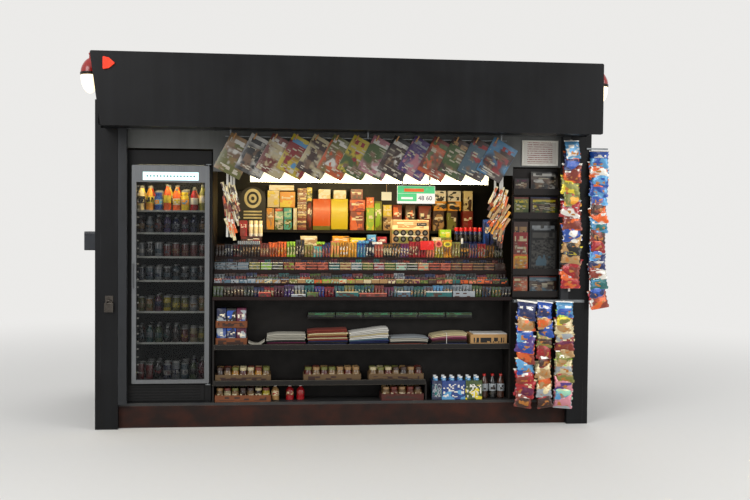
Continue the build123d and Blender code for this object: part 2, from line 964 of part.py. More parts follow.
# Cartons on the lower shelf
with BuildPart() as drink_cartons:
    for carton_start, carton_length in zip(carton_starts, carton_lengths):
        slab(
            shelf_left_x + carton_start,
            shelf_left_x + carton_start + carton_length,
            goods_front_y,
            goods_front_y + carton_depth,
            lower_shelf_top + seat_gap,
            lower_shelf_top + seat_gap + carton_height,
        )
save(drink_cartons.part, "drink_cartons")

# Goods on the floor plate: cartons, water packs and loose bottles
floor_goods_y = display_front_y + stack_margin + floor_pack_depth / 2
bottles_left_x = shelf_right_x - stack_margin - tall_bottle_count * tall_bottle_pitch
water_start = bottles_left_x - water_pack_length - shelf_left_x
floor_packs = (*floor_cartons, (water_start, water_pack_length, water_pack_height))
with BuildPart() as floor_goods:
    for carton_start, carton_length, pack_tall in floor_packs:
        slab(
            shelf_left_x + carton_start,
            shelf_left_x + carton_start + carton_length,
            floor_goods_y - floor_pack_depth / 2,
            floor_goods_y + floor_pack_depth / 2,
            floor_top + seat_gap,
            floor_top + seat_gap + pack_tall,
        )
    short_places = [(shelf_left_x + start, floor_goods_y) for start in bottle_pair_starts]
    tall_places = [
        (bottles_left_x + (place + 0.5) * tall_bottle_pitch, floor_goods_y)
        for place in range(tall_bottle_count)
    ]
    for places, bottle_height in ((short_places, floor_bottle_height), (tall_places, tall_bottle_height)):
        body_height = bottle_height * bottle_body_share
        with BuildSketch(Plane.XY.offset(floor_top + seat_gap)):
            with Locations(*places):
                RegularPolygon(floor_bottle_radius - seat_gap, bottle_sides)
        extrude(amount=body_height)
        with BuildSketch(Plane.XY.offset(floor_top + seat_gap + body_height)):
            with Locations(*places):
                RegularPolygon(bottle_neck_radius, bottle_sides)
        extrude(amount=bottle_height - body_height)
save(floor_goods.part, "floor_goods")

# Rack panel with pockets in the right bay
with BuildPart() as rack_panel:
    slab(rack_left_x, rack_right_x, rack_front_y, rack_front_y + rack_sheet, floor_top, rack_top)
    for level in pocket_levels:
        slab(
            rack_left_x,
            rack_right_x,
            rack_front_y - pocket_depth,
            rack_front_y,
            level,
            level + pocket_sheet,
        )
        slab(
            rack_left_x,
            rack_right_x,
            rack_front_y - pocket_depth,
            rack_front_y - pocket_depth + pocket_sheet,
            level,
            level + pocket_height,
        )
save(rack_panel.part, "rack_panel")

# Rack magazines: a narrow and a wide one in every pocket
column_split_x = rack_left_x + rack_column_split * (rack_right_x - rack_left_x)
with BuildPart() as rack_magazines:
    for level, magazine_height in zip(pocket_levels, rack_magazine_heights):
        for column_left_x, column_right_x in ((rack_left_x, column_split_x), (column_split_x, rack_right_x)):
            slab(
                column_left_x + rack_magazine_gap,
                column_right_x - rack_magazine_gap,
                rack_front_y - (pocket_depth + rack_magazine_thickness) / 2,
                rack_front_y - (pocket_depth - rack_magazine_thickness) / 2,
                level + pocket_sheet + seat_gap,
                level + pocket_sheet + seat_gap + magazine_height,
            )
save(rack_magazines.part, "rack_magazines")

# Snack hangers: an arm across the front of the right wall, and a rail in front of the right bay
rail_back_y = front_y
rail_front_y = front_y - lower_rail_sheet
with BuildPart() as snack_hangers:
    slab(
        inner_half_width,
        half_width + outer_arm_length,
        front_y - outer_arm_height,
        front_y,
        outer_arm_top - outer_arm_height,
        outer_arm_top,
    )
    slab(
        rack_left_x,
        inner_half_width,
        rail_front_y,
        rail_back_y,
        lower_rail_top - lower_rail_height,
        lower_rail_top,
    )
    slab(
        rack_left_x,
        rack_left_x + lower_rail_sheet,
        rail_back_y,
        rack_front_y,
        lower_rail_top - lower_rail_height,
        lower_rail_top,
    )
save(snack_hangers.part, "snack_hangers")


def bag_strip(centre_x, strip_back_y, top_z, bottom_z, bag_width, bag_pitch, depth, bag_top_z):
    # a flat strip with a column of pillow bags clipped to its front
    strip_front_y = strip_back_y - strip_sheet
    slab(
        centre_x - strip_half_width,
        centre_x + strip_half_width,
        strip_front_y,
        strip_back_y,
        bottom_z,
        top_z,
    )
    for place in range(int((bag_top_z - bottom_z) / bag_pitch)):
        with BuildSketch(Plane.XY.offset(bottom_z + place * bag_pitch)) as bag_section:
            with Locations((centre_x, strip_front_y - depth / 2)):
                Polygon(
                    (-bag_width / 2, 0),
                    (-bag_width / 4, -depth / 2),
                    (bag_width / 4, -depth / 2),
                    (bag_width / 2, 0),
                    (bag_width / 4, depth / 2),
                    (-bag_width / 4, depth / 2),
                )
        extrude(bag_section.sketch, amount=bag_pitch - strip_sheet)


with BuildPart() as snack_strips:
    bag_strip(
        inner_strip_x,
        front_y - strip_projection,
        soffit_z,
        inner_strip_bottom,
        inner_bag_width,
        inner_bag_pitch,
        bag_depth,
        soffit_z,
    )
    bag_strip(
        half_width + outer_strip_reach,
        front_y - outer_arm_height,
        outer_arm_top,
        outer_strip_bottom,
        outer_bag_width,
        outer_bag_pitch,
        bag_depth,
        outer_arm_top,
    )
    for lower_x, lower_width in zip(lower_strip_xs, lower_bag_widths):
        bag_strip(
            lower_x,
            rail_front_y,
            lower_rail_top,
            lower_strip_bottom,
            lower_width,
            lower_bag_pitch,
            bag_depth,
            lower_rail_top,
        )
save(snack_strips.part, "snack_strips")

# Pack strips that hang inside the serving opening, clipped to the back of the header
serving_strip_xs = [bay_left_x + inset for inset in serving_left_insets]
serving_strip_xs += [bay_right_x - inset for inset in serving_right_insets]
with BuildPart() as serving_strips:
    for serving_x in serving_strip_xs:
        bag_strip(
            serving_x,
            header_y + header_thickness + strip_sheet,
            header_bottom + holder_length,
            serving_strip_bottom,
            serving_bag_width,
            serving_bag_pitch,
            serving_bag_depth,
            header_bottom,
        )
save(serving_strips.part, "serving_strips")

# Line of magazines: a rod under the soffit and tilted magazines pegged to it
rod_y = front_y - hung_rod_projection
rod_z = soffit_z - hung_rod_drop
rod_length = hung_count * hung_pitch
hung_first_x = hung_centre_x - (hung_count - 1) * hung_pitch / 2
with BuildPart() as magazine_rail:
    with BuildSketch(Plane.YZ.offset(hung_centre_x - rod_length / 2)):
        with Locations((rod_y, rod_z)):
            Circle(hung_rod_radius)
    extrude(amount=rod_length)
    for hanger_side in (-1, 0, 1):
        hanger_x = hung_centre_x + hanger_side * (rod_length / 2 - hung_rod_end)
        slab(
            hanger_x - hanger_half,
            hanger_x + hanger_half,
            rod_y - hung_rod_radius / 2,
            rod_y + hung_rod_radius / 2,
            rod_z,
            soffit_z,
        )
save(magazine_rail.part, "magazine_rail")

with BuildPart() as magazines:
    for place in range(hung_count):
        hung_x = hung_first_x + place * hung_pitch
        layer_y = (place % 2) * (hung_thickness + seat_gap)
        hung_y = rod_y - hung_rod_radius - seat_gap - hung_thickness / 2 - layer_y
        with Locations(Location((hung_x, hung_y, soffit_z - hung_centre_drop), (0, hung_tilt, 0))):
            Box(hung_width, hung_thickness, hung_height)
save(magazines.part, "magazines")

# Notice on the header, in a raised frame
notice_right_x = inner_half_width - notice_right_margin
notice_bottom_z = header_over_rack + notice_bottom_rise
with BuildPart() as notice_frame:
    with BuildSketch(Plane.XZ.offset(-header_y)):
        with Locations((notice_right_x - notice_width / 2, notice_bottom_z + notice_height / 2)):
            Rectangle(notice_width, notice_height)
    extrude(amount=notice_frame_depth)
    with BuildSketch(Plane.XZ.offset(notice_frame_depth - header_y)):
        with Locations((notice_right_x - notice_width / 2, notice_bottom_z + notice_height / 2)):
            Rectangle(notice_width - 2 * notice_frame_width, notice_height - 2 * notice_frame_width)
    extrude(amount=notice_sheet_depth - notice_frame_depth, mode=Mode.SUBTRACT)
save(notice_frame.part, "notice_frame")

# Strip light: a batten under the header's edge with two tubes in three holders
batten_left_x = bay_left_x + batten_left_inset
batten_right_x = bay_right_x - batten_right_inset
batten_centre_x = (batten_left_x + batten_right_x) / 2
batten_y = header_y + header_thickness / 2
with BuildPart() as light_batten:
    slab(
        batten_left_x,
        batten_right_x,
        batten_y - batten_depth / 2,
        batten_y + batten_depth / 2,
        header_bottom - batten_height,
        header_bottom,
    )
    for holder_x in (
        batten_left_x + holder_length / 2,
        batten_centre_x,
        batten_right_x - holder_length / 2,
    ):
        slab(
            holder_x - holder_length / 2,
            holder_x + holder_length / 2,
            batten_y - tube_radius,
            batten_y + tube_radius,
            header_bottom - batten_height - holder_drop,
            header_bottom - batten_height,
        )
save(light_batten.part, "light_batten")

tube_z = header_bottom - batten_height - tube_drop
with BuildPart() as light_tubes:
    for tube_from, tube_to in (
        (batten_left_x + holder_length, batten_centre_x - holder_length / 2),
        (batten_centre_x + holder_length / 2, batten_right_x - holder_length),
    ):
        with BuildSketch(Plane.YZ.offset(tube_from)):
            with Locations((batten_y, tube_z)):
                Circle(tube_radius - seat_gap)
        extrude(amount=tube_to - tube_from)
save(light_tubes.part, "light_tubes")

# Hanging card: held in front of the light by two straps on the header
card_back_y = batten_y - batten_depth / 2 - strap_thickness
with BuildPart() as hanging_card:
    slab(
        card_centre_x - card_width / 2,
        card_centre_x + card_width / 2,
        card_back_y - card_thickness,
        card_back_y,
        card_top - card_height,
        card_top,
    )
    for strap_side in (-0.5, 0.5):
        strap_x = card_centre_x + strap_side * strap_spread
        slab(
            strap_x - strap_width / 2,
            strap_x + strap_width / 2,
            card_back_y,
            card_back_y + strap_thickness,
            card_top - strap_overlap,
            header_bottom + strap_overlap,
        )
        slab(
            strap_x - strap_width / 2,
            strap_x + strap_width / 2,
            card_back_y,
            header_y,
            header_bottom + strap_overlap / 2,
            header_bottom + strap_overlap,
        )
save(hanging_card.part, "hanging_card")

# Back shelf on brackets, and the stock on it
back_shelf_front_y = inner_back_y - back_shelf_depth
back_shelf_left_x = bay_left_x + back_shelf_inset
back_shelf_right_x = bay_right_x
with BuildPart() as back_shelf:
    slab(
        back_shelf_left_x,
        back_shelf_right_x,
        back_shelf_front_y,
        inner_back_y,
        back_shelf_top - back_shelf_board,
        back_shelf_top,
    )
    for along in bracket_places:
        bracket_x = back_shelf_left_x + along * (back_shelf_right_x - back_shelf_left_x)
        with BuildSketch(Plane.YZ.offset(bracket_x - bracket_half)):
            Polygon(
                (back_shelf_front_y + bracket_set_back, back_shelf_top - back_shelf_board),
                (inner_back_y, back_shelf_top - back_shelf_board),
                (inner_back_y, back_shelf_top - back_shelf_board - bracket_drop),
                align=None,
            )
        extrude(amount=2 * bracket_half)
save(back_shelf.part, "back_shelf")

with BuildPart() as stock_boxes:
    for stock_start, stock_width, stock_height in stock_boxes_list:
        slab(
            back_shelf_left_x + stock_start,
            back_shelf_left_x + stock_start + stock_width,
            back_shelf_front_y + stack_margin,
            back_shelf_front_y + stack_margin + stock_depth,
            back_shelf_top + seat_gap,
            back_shelf_top + seat_gap + stock_height,
        )
save(stock_boxes.part, "stock_boxes")


def lamp_plane(side):
    # the upright plane through a lamp's axis, facing the front
    return Plane(origin=(side * lamp_x, lamp_y, 0), x_dir=(1, 0, 0), z_dir=(0, -1, 0))


def lamp_axis(side):
    return Axis((side * lamp_x, lamp_y, 0), (0, 0, 1))


# Lamp caps: ring, conical cap and pointed stem, held to the fascia end by a short arm
ring_top = lamp_z + lamp_ring_height
cap_top = ring_top + lamp_cap_height
stem_top = cap_top + lamp_stem_length
with BuildPart() as lamp_caps:
    for side in (-1, 1):
        with BuildSketch(lamp_plane(side)):
            with BuildLine():
                Line((0, lamp_z), (lamp_ring_radius, lamp_z))
                Line((lamp_ring_radius, lamp_z), (lamp_ring_radius, ring_top))
                Spline(
                    (lamp_ring_radius, ring_top),
                    (lamp_ring_radius * lamp_cap_waist, ring_top + lamp_cap_height * lamp_cap_waist_rise),
                    (lamp_stem_radius, cap_top),
                )
                Polyline(
                    (lamp_stem_radius, cap_top),
                    (lamp_stem_radius, stem_top - lamp_tip_length),
                    (lamp_tip_radius, stem_top - lamp_tip_length / 2),
                    (0, stem_top),
                )
                Line((0, stem_top), (0, lamp_z))
            make_face()
        revolve(axis=lamp_axis(side))
        arm_from, arm_to = span(side, box_half_width, lamp_x - lamp_ring_radius / 2)
        slab(
            arm_from,
            arm_to,
            lamp_y - lamp_arm_width / 2,
            lamp_y + lamp_arm_width / 2,
            lamp_z,
            lamp_z + lamp_arm_height,
        )
save(lamp_caps.part, "lamp_caps")

# Lamp glasses: opal bowls that close to a point under the ring
with BuildPart() as lamp_glasses:
    glass_rim_z = lamp_z - seat_gap
    glass_foot_z = lamp_z - lamp_glass_height
    for side in (-1, 1):
        with BuildSketch(lamp_plane(side)):
            with BuildLine():
                Line((0, glass_rim_z), (lamp_glass_radius, glass_rim_z))
                Spline(
                    (lamp_glass_radius, glass_rim_z),
                    (lamp_glass_radius * lamp_glass_waist, glass_foot_z + lamp_glass_height * lamp_glass_waist_rise),
                    (0, glass_foot_z),
                    tangents=((0, -1), (-1, 0)),
                )
                Line((0, glass_foot_z), (0, glass_rim_z))
            make_face()
        revolve(axis=lamp_axis(side))
save(lamp_glasses.part, "lamp_glasses")

# Red marker lens on the fascia board, a drop shape that points to the right
marker_left_x = marker_inset - board_half_width
marker_top_z = fascia_top - marker_drop
with BuildPart() as marker_lens:
    with BuildSketch(Plane.XZ.offset(-fascia_y)) as lens_outline:
        with BuildLine():
            Polyline(
                (marker_left_x, marker_top_z),
                (marker_left_x + marker_length / 2, marker_top_z - marker_height * marker_taper),
                (marker_left_x + marker_length, marker_top_z - marker_height / 2),
                (marker_left_x + marker_length / 2, marker_top_z - marker_height * (1 - marker_taper)),
                (marker_left_x, marker_top_z - marker_height),
                close=True,
            )
        make_face()
        fillet(lens_outline.vertices(), radius=marker_round)
    extrude(amount=marker_depth)
save(marker_lens.part, "marker_lens")

# Electrical box on the left wall
wall_box_y = front_y + wall_box_set_back
with BuildPart() as wall_box:
    slab(
        -half_width - wall_box_depth,
        -half_width,
        wall_box_y - wall_box_size / 2,
        wall_box_y + wall_box_size / 2,
        wall_box_z - wall_box_size / 2,
        wall_box_z + wall_box_size / 2,
    )
    fillet(wall_box.edges().filter_by(Axis.X), radius=wall_box_round)
save(wall_box.part, "wall_box")

# Hasp and padlock on the left corner post
hasp_x = -(post_inner_x + post_width / 2)
lock_y = front_y - hasp_thickness - lock_depth / 2
lock_z = hasp_z - hasp_height / 2
shackle_z = lock_z + lock_height / 2
with BuildPart() as padlock:
    slab(
        hasp_x - hasp_width / 2,
        hasp_x + hasp_width / 2,
        front_y - hasp_thickness,
        front_y,
        hasp_z - hasp_height / 2,
        hasp_z + hasp_height / 2,
    )
    with Locations((hasp_x, lock_y, lock_z)):
        Box(lock_width, lock_depth, lock_height)
    with BuildSketch(Plane.XY.offset(shackle_z)):
        with Locations((hasp_x + shackle_span / 2, lock_y)):
            Circle(shackle_radius)
    revolve(axis=Axis((hasp_x, lock_y, shackle_z), (0, -1, 0)), revolution_arc=180)
save(padlock.part, "padlock")
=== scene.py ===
import math
import bmesh
import bpy
import numpy as np
from mathutils import Matrix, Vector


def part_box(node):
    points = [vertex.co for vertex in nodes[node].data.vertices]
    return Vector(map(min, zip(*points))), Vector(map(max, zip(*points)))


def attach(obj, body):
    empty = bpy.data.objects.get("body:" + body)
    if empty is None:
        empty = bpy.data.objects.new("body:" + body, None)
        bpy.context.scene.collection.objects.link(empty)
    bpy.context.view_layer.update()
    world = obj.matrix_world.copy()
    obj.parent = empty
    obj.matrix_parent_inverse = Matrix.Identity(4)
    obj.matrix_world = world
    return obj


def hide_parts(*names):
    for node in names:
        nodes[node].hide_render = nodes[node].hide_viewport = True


# Street kiosk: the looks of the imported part. Metres, front at -Y.
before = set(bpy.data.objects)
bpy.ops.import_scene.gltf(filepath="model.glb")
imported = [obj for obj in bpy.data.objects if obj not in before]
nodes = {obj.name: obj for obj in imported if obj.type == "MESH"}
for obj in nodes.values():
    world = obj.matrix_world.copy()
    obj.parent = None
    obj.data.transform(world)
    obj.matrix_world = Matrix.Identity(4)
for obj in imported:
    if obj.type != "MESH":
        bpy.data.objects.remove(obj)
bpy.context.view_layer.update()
print("frame loaded with", len(nodes), "nodes")


# Small helpers

def toLinear(hexColour):
    # sRGB hex to linear: c / 12.92 below 0.04045, else ((c + 0.055) / 1.055) ** 2.4
    parts = np.array([int(hexColour[i:i + 2], 16) for i in (1, 3, 5)]) / 255
    linear = np.where(parts <= 0.04045, parts / 12.92, ((parts + 0.055) / 1.055) ** 2.4)
    return (*linear.tolist(), 1.0)


def addNode(tree, kind, settings=None, inputs=None):
    # one node with its settings, or its operation alone; an input is a value, a socket, or a node for its first output
    made = tree.nodes.new("ShaderNode" + kind)
    if isinstance(settings, str):
        settings = {"operation": settings}
    for key, value in (settings or {}).items():
        setattr(made, key, value)
    for key, value in (inputs or {}).items():
        source = value.outputs[0] if isinstance(value, bpy.types.Node) else value
        if isinstance(source, bpy.types.NodeSocket):
            tree.links.new(source, made.inputs[key])
        else:
            made.inputs[key].default_value = source
    return made


def startMaterial(name, sockets):
    # a Principled material with these values on the shader's own sockets
    material = bpy.data.materials.new(name)
    material.use_nodes = True
    shader = material.node_tree.nodes["Principled BSDF"]
    for key, value in sockets.items():
        shader.inputs[key].default_value = value
    return material, material.node_tree, shader


def gridQuads(rows, columns, around=False):
    # quads between neighbours of a rows x columns grid, closed round the columns if around
    last = columns if around else columns - 1
    row, column = np.meshgrid(np.arange(rows - 1), np.arange(last), indexing="ij")
    beside = (column + 1) % columns
    corners = (row * columns + column, row * columns + beside, (row + 1) * columns + beside, (row + 1) * columns + column)
    return np.stack(corners, -1).reshape(-1, 4)


def loft(outline, heights, scales):
    # point(i, j) = scale(j) * outline(i), at height(j): an outline carried up the z axis, closed at both ends
    levels = np.concatenate(([heights[0]], heights, [heights[-1]]))
    grows = np.array([np.broadcast_to(s, 2) for s in [0.0, *scales, 0.0]], float)
    flat = outline[None] * grows[:, None]
    points = np.concatenate((flat, np.broadcast_to(levels[:, None, None], flat.shape[:2] + (1,))), -1)
    return points.reshape(-1, 3), gridQuads(len(levels), len(outline), True)


def roundOutline(sides):
    # circle of radius 0.5: (cos t, sin t) / 2
    turn = np.arange(sides) * 2 * math.pi / sides
    return np.stack((np.cos(turn), np.sin(turn)), -1) / 2


def squareOutline(cornerX, cornerY, steps):
    # unit square whose corners are quarter ellipses of these radii, steps points to a corner
    turn = np.linspace(0, math.pi / 2, steps)[None] + np.arange(4)[:, None] * math.pi / 2
    signX, signY = np.array([1, -1, -1, 1])[:, None], np.array([1, 1, -1, -1])[:, None]
    x = signX * (0.5 - cornerX) + cornerX * np.cos(turn)
    y = signY * (0.5 - cornerY) + cornerY * np.sin(turn)
    return np.stack((x, y), -1).reshape(-1, 2)


def block(size, corner=0.002, steps=2):
    # unit block for this real size, its edges rounded by the corner in metres
    size = np.array(size, float)
    share = np.minimum(corner / size, 0.45)
    heights = [-0.5, -0.5 + share[2], 0.5 - share[2], 0.5]
    tucked = 1 - 2 * share[:2]
    return loft(squareOutline(share[0], share[1], steps), heights, [tucked, 1, 1, tucked])


def copies(shape, sizes, places, turns=None):
    # point = turn * (unit point * size) + place, for every copy at once; marks keep each copy's own place
    unit, quads = shape
    sizes = np.broadcast_to(np.array(sizes, float), (len(places), 3))
    points = unit[None] * sizes[:, None]
    if turns is not None:
        points = points @ turns.transpose(0, 2, 1)
    points = points + np.array(places, float)[:, None]
    step = np.arange(len(places))[:, None, None] * len(unit)
    spots = np.tile(unit, (len(places), 1))
    return points.reshape(-1, 3), (quads[None] + step).reshape(-1, 4), spots


def turnAbout(axis, angles):
    # one turning matrix for each angle about x, y or z
    angles = np.atleast_1d(np.array(angles, float))
    c, s, o, l = np.cos(angles), np.sin(angles), np.zeros(len(angles)), np.ones(len(angles))
    rows = {
        "x": (l, o, o, o, c, -s, o, s, c),
        "y": (c, o, s, o, l, o, -s, o, c),
        "z": (c, -s, o, s, c, o, o, o, l),
    }[axis]
    return np.stack(rows, -1).reshape(-1, 3, 3)


def rowsOf(x, y, z):
    # one row (x, y, z) for each copy; a single number counts for every copy
    return np.stack(np.broadcast_arrays(x, y, z), -1)


def joined(parts):
    # several (points, quads, marks) as one, where marks is a dictionary of arrays
    points, quads, marks, start = [], [], {}, 0
    for partPoints, partQuads, partMarks in parts:
        points.append(partPoints)
        quads.append(partQuads + start)
        start += len(partPoints)
        for key, values in partMarks.items():
            marks.setdefault(key, []).append(values)
    return np.concatenate(points), np.concatenate(quads), {k: np.concatenate(v) for k, v in marks.items()}


def goods(shape, sizes, places, tints, inks, picks, turns=None, accents=None):
    # copies of a shape with a colour, two print colours and a random number for each; no print colour means their own
    points, quads, spots = copies(shape, sizes, places, turns)
    each = len(shape[0])
    inks = np.broadcast_to(tints if inks is None else inks, (len(places), 4))
    paint = {"tint": np.broadcast_to(tints, (len(places), 4)), "ink": inks, "pick": picks,
             "accent": np.roll(inks, 1, axis=0) if accents is None else np.broadcast_to(accents, (len(places), 4))}
    marks = {key: np.repeat(np.array(values, float), each, axis=0) for key, values in paint.items()}
    return points, quads, {**marks, "spot": spots}


def addPiece(name, mesh, material, replaced=(), body="cabin"):
    # the object of a finished mesh at the origin, on its body, with its slot and the CAD nodes that it stands for
    made = bpy.data.objects.new(name, mesh)
    bpy.context.scene.collection.objects.link(made)
    mesh.materials.clear()
    mesh.materials.append(material)
    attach(made, body)
    if replaced:
        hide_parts(*replaced)


def makePiece(name, part, material, replaced=(), body="cabin", angle=35):
    # one mesh from whole arrays, its doubles merged and its faces turned outwards
    points, quads, marks = part
    mesh = bpy.data.meshes.new(name)
    mesh.from_pydata(points.tolist(), [], quads.tolist())
    for key, values in marks.items():
        kind, field = {1: ("FLOAT", "value"), 3: ("FLOAT_VECTOR", "vector"), 4: ("FLOAT_COLOR", "color")}[
            1 if values.ndim == 1 else values.shape[1]]
        mesh.attributes.new(key, kind, "POINT").data.foreach_set(field, values.astype(np.float32).ravel())
    work = bmesh.new()
    work.from_mesh(mesh)
    bmesh.ops.remove_doubles(work, verts=work.verts, dist=1e-6)
    bmesh.ops.recalc_face_normals(work, faces=work.faces)
    work.to_mesh(mesh)
    work.free()
    mesh.polygons.foreach_set("use_smooth", np.ones(len(mesh.polygons), bool))
    mesh.set_sharp_from_angle(angle=math.radians(angle))
    addPiece(name, mesh, material, replaced, body)


# Finishes

rigidLook = {
    "metallic": 0.0, "ior": 1.5, "coat": 0.0, "specular": 0.5, "spread": 0.06, "grainMm": 1.5, "depthMm": 0.05, "bump": 0.6,
    # second tone: size of its patches, streaks for each metre along x, y and z, how much of it, and the noise where it sets in
    "patchMm": 60, "streak": (18, 18, 1.2), "share": 0.8, "patchFrom": 0.14, "patchTo": 0.42,
    # rubbed edges: width, how far the surface turns (cosine) and the noise where they set in
    "edgeMm": 2.5, "turnFrom": 0.985, "turnTo": 0.86, "bare": 0.46, "bareBlend": 0.12,
}


def rigidFinish(name, colour, patch, edge=None, **own):
    # A rigid surface: two tones in soft patches, fine grain, streaks that run down it, rounded edges rubbed to another colour.
    # It states roughness and whatever differs from rigidLook; a lower bare rubs more off.
    look = {**rigidLook, **own}
    material, tree, shader = startMaterial(name, {
        "Metallic": look["metallic"], "IOR": look["ior"], "Coat Weight": look["coat"], "Specular IOR Level": look["specular"]})
    place = addNode(tree, "TexCoord").outputs["Object"]
    cloud = addNode(tree, "TexNoise", None, {"Vector": place, "Scale": 1000 / look["patchMm"], "Detail": 6.0})
    stretched = addNode(tree, "Mapping", None, {"Vector": place, "Scale": look["streak"]})
    streaks = addNode(tree, "TexNoise", None, {"Vector": stretched, "Scale": 1.0, "Detail": 4.0})
    grain = addNode(tree, "TexNoise", None, {"Vector": place, "Scale": 1000 / look["grainMm"], "Detail": 3.0})
    both = addNode(tree, "Math", "MULTIPLY", {0: cloud, 1: streaks})
    share = addNode(tree, "MapRange", None, {
        "Value": both, "From Min": look["patchFrom"], "From Max": look["patchTo"], "To Max": look["share"]})
    tone = addNode(tree, "Mix", {"data_type": "RGBA"}, {
        0: share, 6: toLinear(colour), 7: toLinear(patch)}).outputs[2]
    soft = addNode(tree, "Bevel", {"samples": 3}, {"Radius": look["edgeMm"] / 1000})
    if edge:
        true = addNode(tree, "NewGeometry").outputs["Normal"]
        facing = addNode(tree, "VectorMath", "DOT_PRODUCT", {0: soft, 1: true}).outputs["Value"]
        rim = addNode(tree, "MapRange", None, {"Value": facing, "From Min": look["turnFrom"], "From Max": look["turnTo"]})
        chips = addNode(tree, "MapRange", None, {
            "Value": cloud, "From Min": look["bare"], "From Max": look["bare"] + look["bareBlend"]})
        rubbed = addNode(tree, "Math", "MULTIPLY", {0: rim, 1: chips})
        tone = addNode(tree, "Mix", {"data_type": "RGBA"}, {0: rubbed, 6: tone, 7: toLinear(edge)}).outputs[2]
    tree.links.new(tone, shader.inputs["Base Color"])
    rough = addNode(tree, "MapRange", None, {
        "Value": cloud, "From Min": 0.3, "From Max": 0.7,
        "To Min": look["roughness"] - look["spread"], "To Max": look["roughness"] + look["spread"]})
    tree.links.new(rough.outputs[0], shader.inputs["Roughness"])
    bump = addNode(tree, "Bump", None, {
        "Height": grain, "Distance": look["depthMm"] / 1000, "Strength": look["bump"], "Normal": soft})
    tree.links.new(bump.outputs[0], shader.inputs["Normal"])
    return material


printedLook = {
    "metallic": 0.0, "ior": 1.5, "coat": 0.0, "coatRoughness": 0.12, "alpha": 1.0, "glow": 0.0,
    # print: how far the pick slides it, how far it shifts the noise, the blend at a rim, and how uneven the square cells are
    "slide": 0.12, "shift": 37.0, "soft": 0.006, "cells": 0.3,
    # handling: size of the faded patches, their colour and share, and the noise where they set in
    "patchMm": 40, "fade": "#d8d2c4", "fadeShare": 0.16, "fadeFrom": 0.55, "fadeTo": 0.85,
    "crinkleMm": 9, "distortion": 0.8, "depthMm": 0.8, "bump": 0.7,
}


def printedFinish(name, areas, **own):
    # Goods in their wrappers. Over the copy's own tint lie areas of print: (low, high, half width, paint), in shares of the copy.
    # An area that goes on with (kind, cells across, cells up, share left bare) is broken up: "blots" are soft noise, as in a
    # picture, and "marks" are square cells, as small type. The copy's pick shifts its print, so that no two are alike.
    # It states roughness and whatever differs from printedLook.
    look = {**printedLook, **own}
    material, tree, shader = startMaterial(name, {
        "Metallic": look["metallic"], "Roughness": look["roughness"], "IOR": look["ior"], "Coat Weight": look["coat"],
        "Coat Roughness": look["coatRoughness"], "Alpha": look["alpha"], "Emission Strength": look["glow"]})
    paint = {key: addNode(tree, "Attribute", {"attribute_name": key}).outputs["Color"] for key in ("tint", "ink", "accent")}
    pick = addNode(tree, "Attribute", {"attribute_name": "pick"}).outputs["Fac"]
    spot = addNode(tree, "Attribute", {"attribute_name": "spot"}).outputs["Vector"]
    axes = addNode(tree, "SeparateXYZ", None, {0: spot}).outputs
    place = addNode(tree, "TexCoord").outputs["Object"]
    height = addNode(tree, "Math", "MULTIPLY_ADD", {0: pick, 1: look["slide"], 2: axes["Z"]})
    shift = addNode(tree, "Math", "MULTIPLY", {0: pick, 1: look["shift"]})
    moved = addNode(tree, "VectorMath", "ADD", {0: spot, 1: shift})
    colour = paint["tint"]
    for low, high, half, over, *broken in areas:
        level = addNode(tree, "Math", "COMPARE", {0: height, 1: (low + high) / 2, 2: (high - low) / 2})
        inside = addNode(tree, "Math", "COMPARE", {0: axes["X"], 1: 0.0, 2: half})
        share = addNode(tree, "Math", "MULTIPLY", {0: level, 1: inside})
        if broken:
            kind, wide, tall, bare = broken
            cells = addNode(tree, "VectorMath", "MULTIPLY", {0: moved, 1: (wide, wide, tall)})
            if kind == "blots":
                drawn = addNode(tree, "TexNoise", None, {"Vector": cells, "Scale": 1.0, "Detail": 1.0}).outputs[0]
            else:
                drawn = addNode(tree, "TexVoronoi", {"distance": "CHEBYCHEV"}, {
                    "Vector": cells, "Scale": 1.0, "Randomness": look["cells"]}).outputs["Color"]
            some = addNode(tree, "MapRange", None, {
                "Value": drawn, "From Min": bare - look["soft"], "From Max": bare + look["soft"]})
            share = addNode(tree, "Math", "MULTIPLY", {0: share, 1: some})
        colour = addNode(tree, "Mix", {"data_type": "RGBA"}, {
            0: share, 6: colour, 7: paint[over] if over in paint else toLinear(over)}).outputs[2]
    cloud = addNode(tree, "TexNoise", None, {"Vector": place, "Scale": 1000 / look["patchMm"], "Detail": 4.0})
    worn = addNode(tree, "MapRange", None, {
        "Value": cloud, "From Min": look["fadeFrom"], "From Max": look["fadeTo"], "To Max": look["fadeShare"]})
    colour = addNode(tree, "Mix", {"data_type": "RGBA"}, {0: worn, 6: colour, 7: toLinear(look["fade"])}).outputs[2]
    tree.links.new(colour, shader.inputs["Base Color"])
    if look["glow"]:
        tree.links.new(colour, shader.inputs["Emission Color"])
    crinkle = addNode(tree, "TexNoise", None, {
        "Vector": place, "Scale": 1000 / look["crinkleMm"], "Detail": 3.0, "Distortion": look["distortion"]})
    bump = addNode(tree, "Bump", None, {"Height": crinkle, "Distance": look["depthMm"] / 1000, "Strength": look["bump"]})
    tree.links.new(bump.outputs[0], shader.inputs["Normal"])
    return material


def glowFinish(name, colour, glow, roughness, strength, patchMm):
    # a lit surface: its own colour glows, a little uneven along its length
    material, tree, shader = startMaterial(name, {
        "Base Color": toLinear(colour), "Roughness": roughness, "Emission Strength": strength})
    place = addNode(tree, "TexCoord").outputs["Object"]
    cloud = addNode(tree, "TexNoise", None, {"Vector": place, "Scale": 1000 / patchMm, "Detail": 2.0})
    lit = addNode(tree, "Mix", {"data_type": "RGBA"}, {0: cloud, 6: toLinear(colour), 7: toLinear(glow)}).outputs[2]
    tree.links.new(lit, shader.inputs["Emission Color"])
    return material


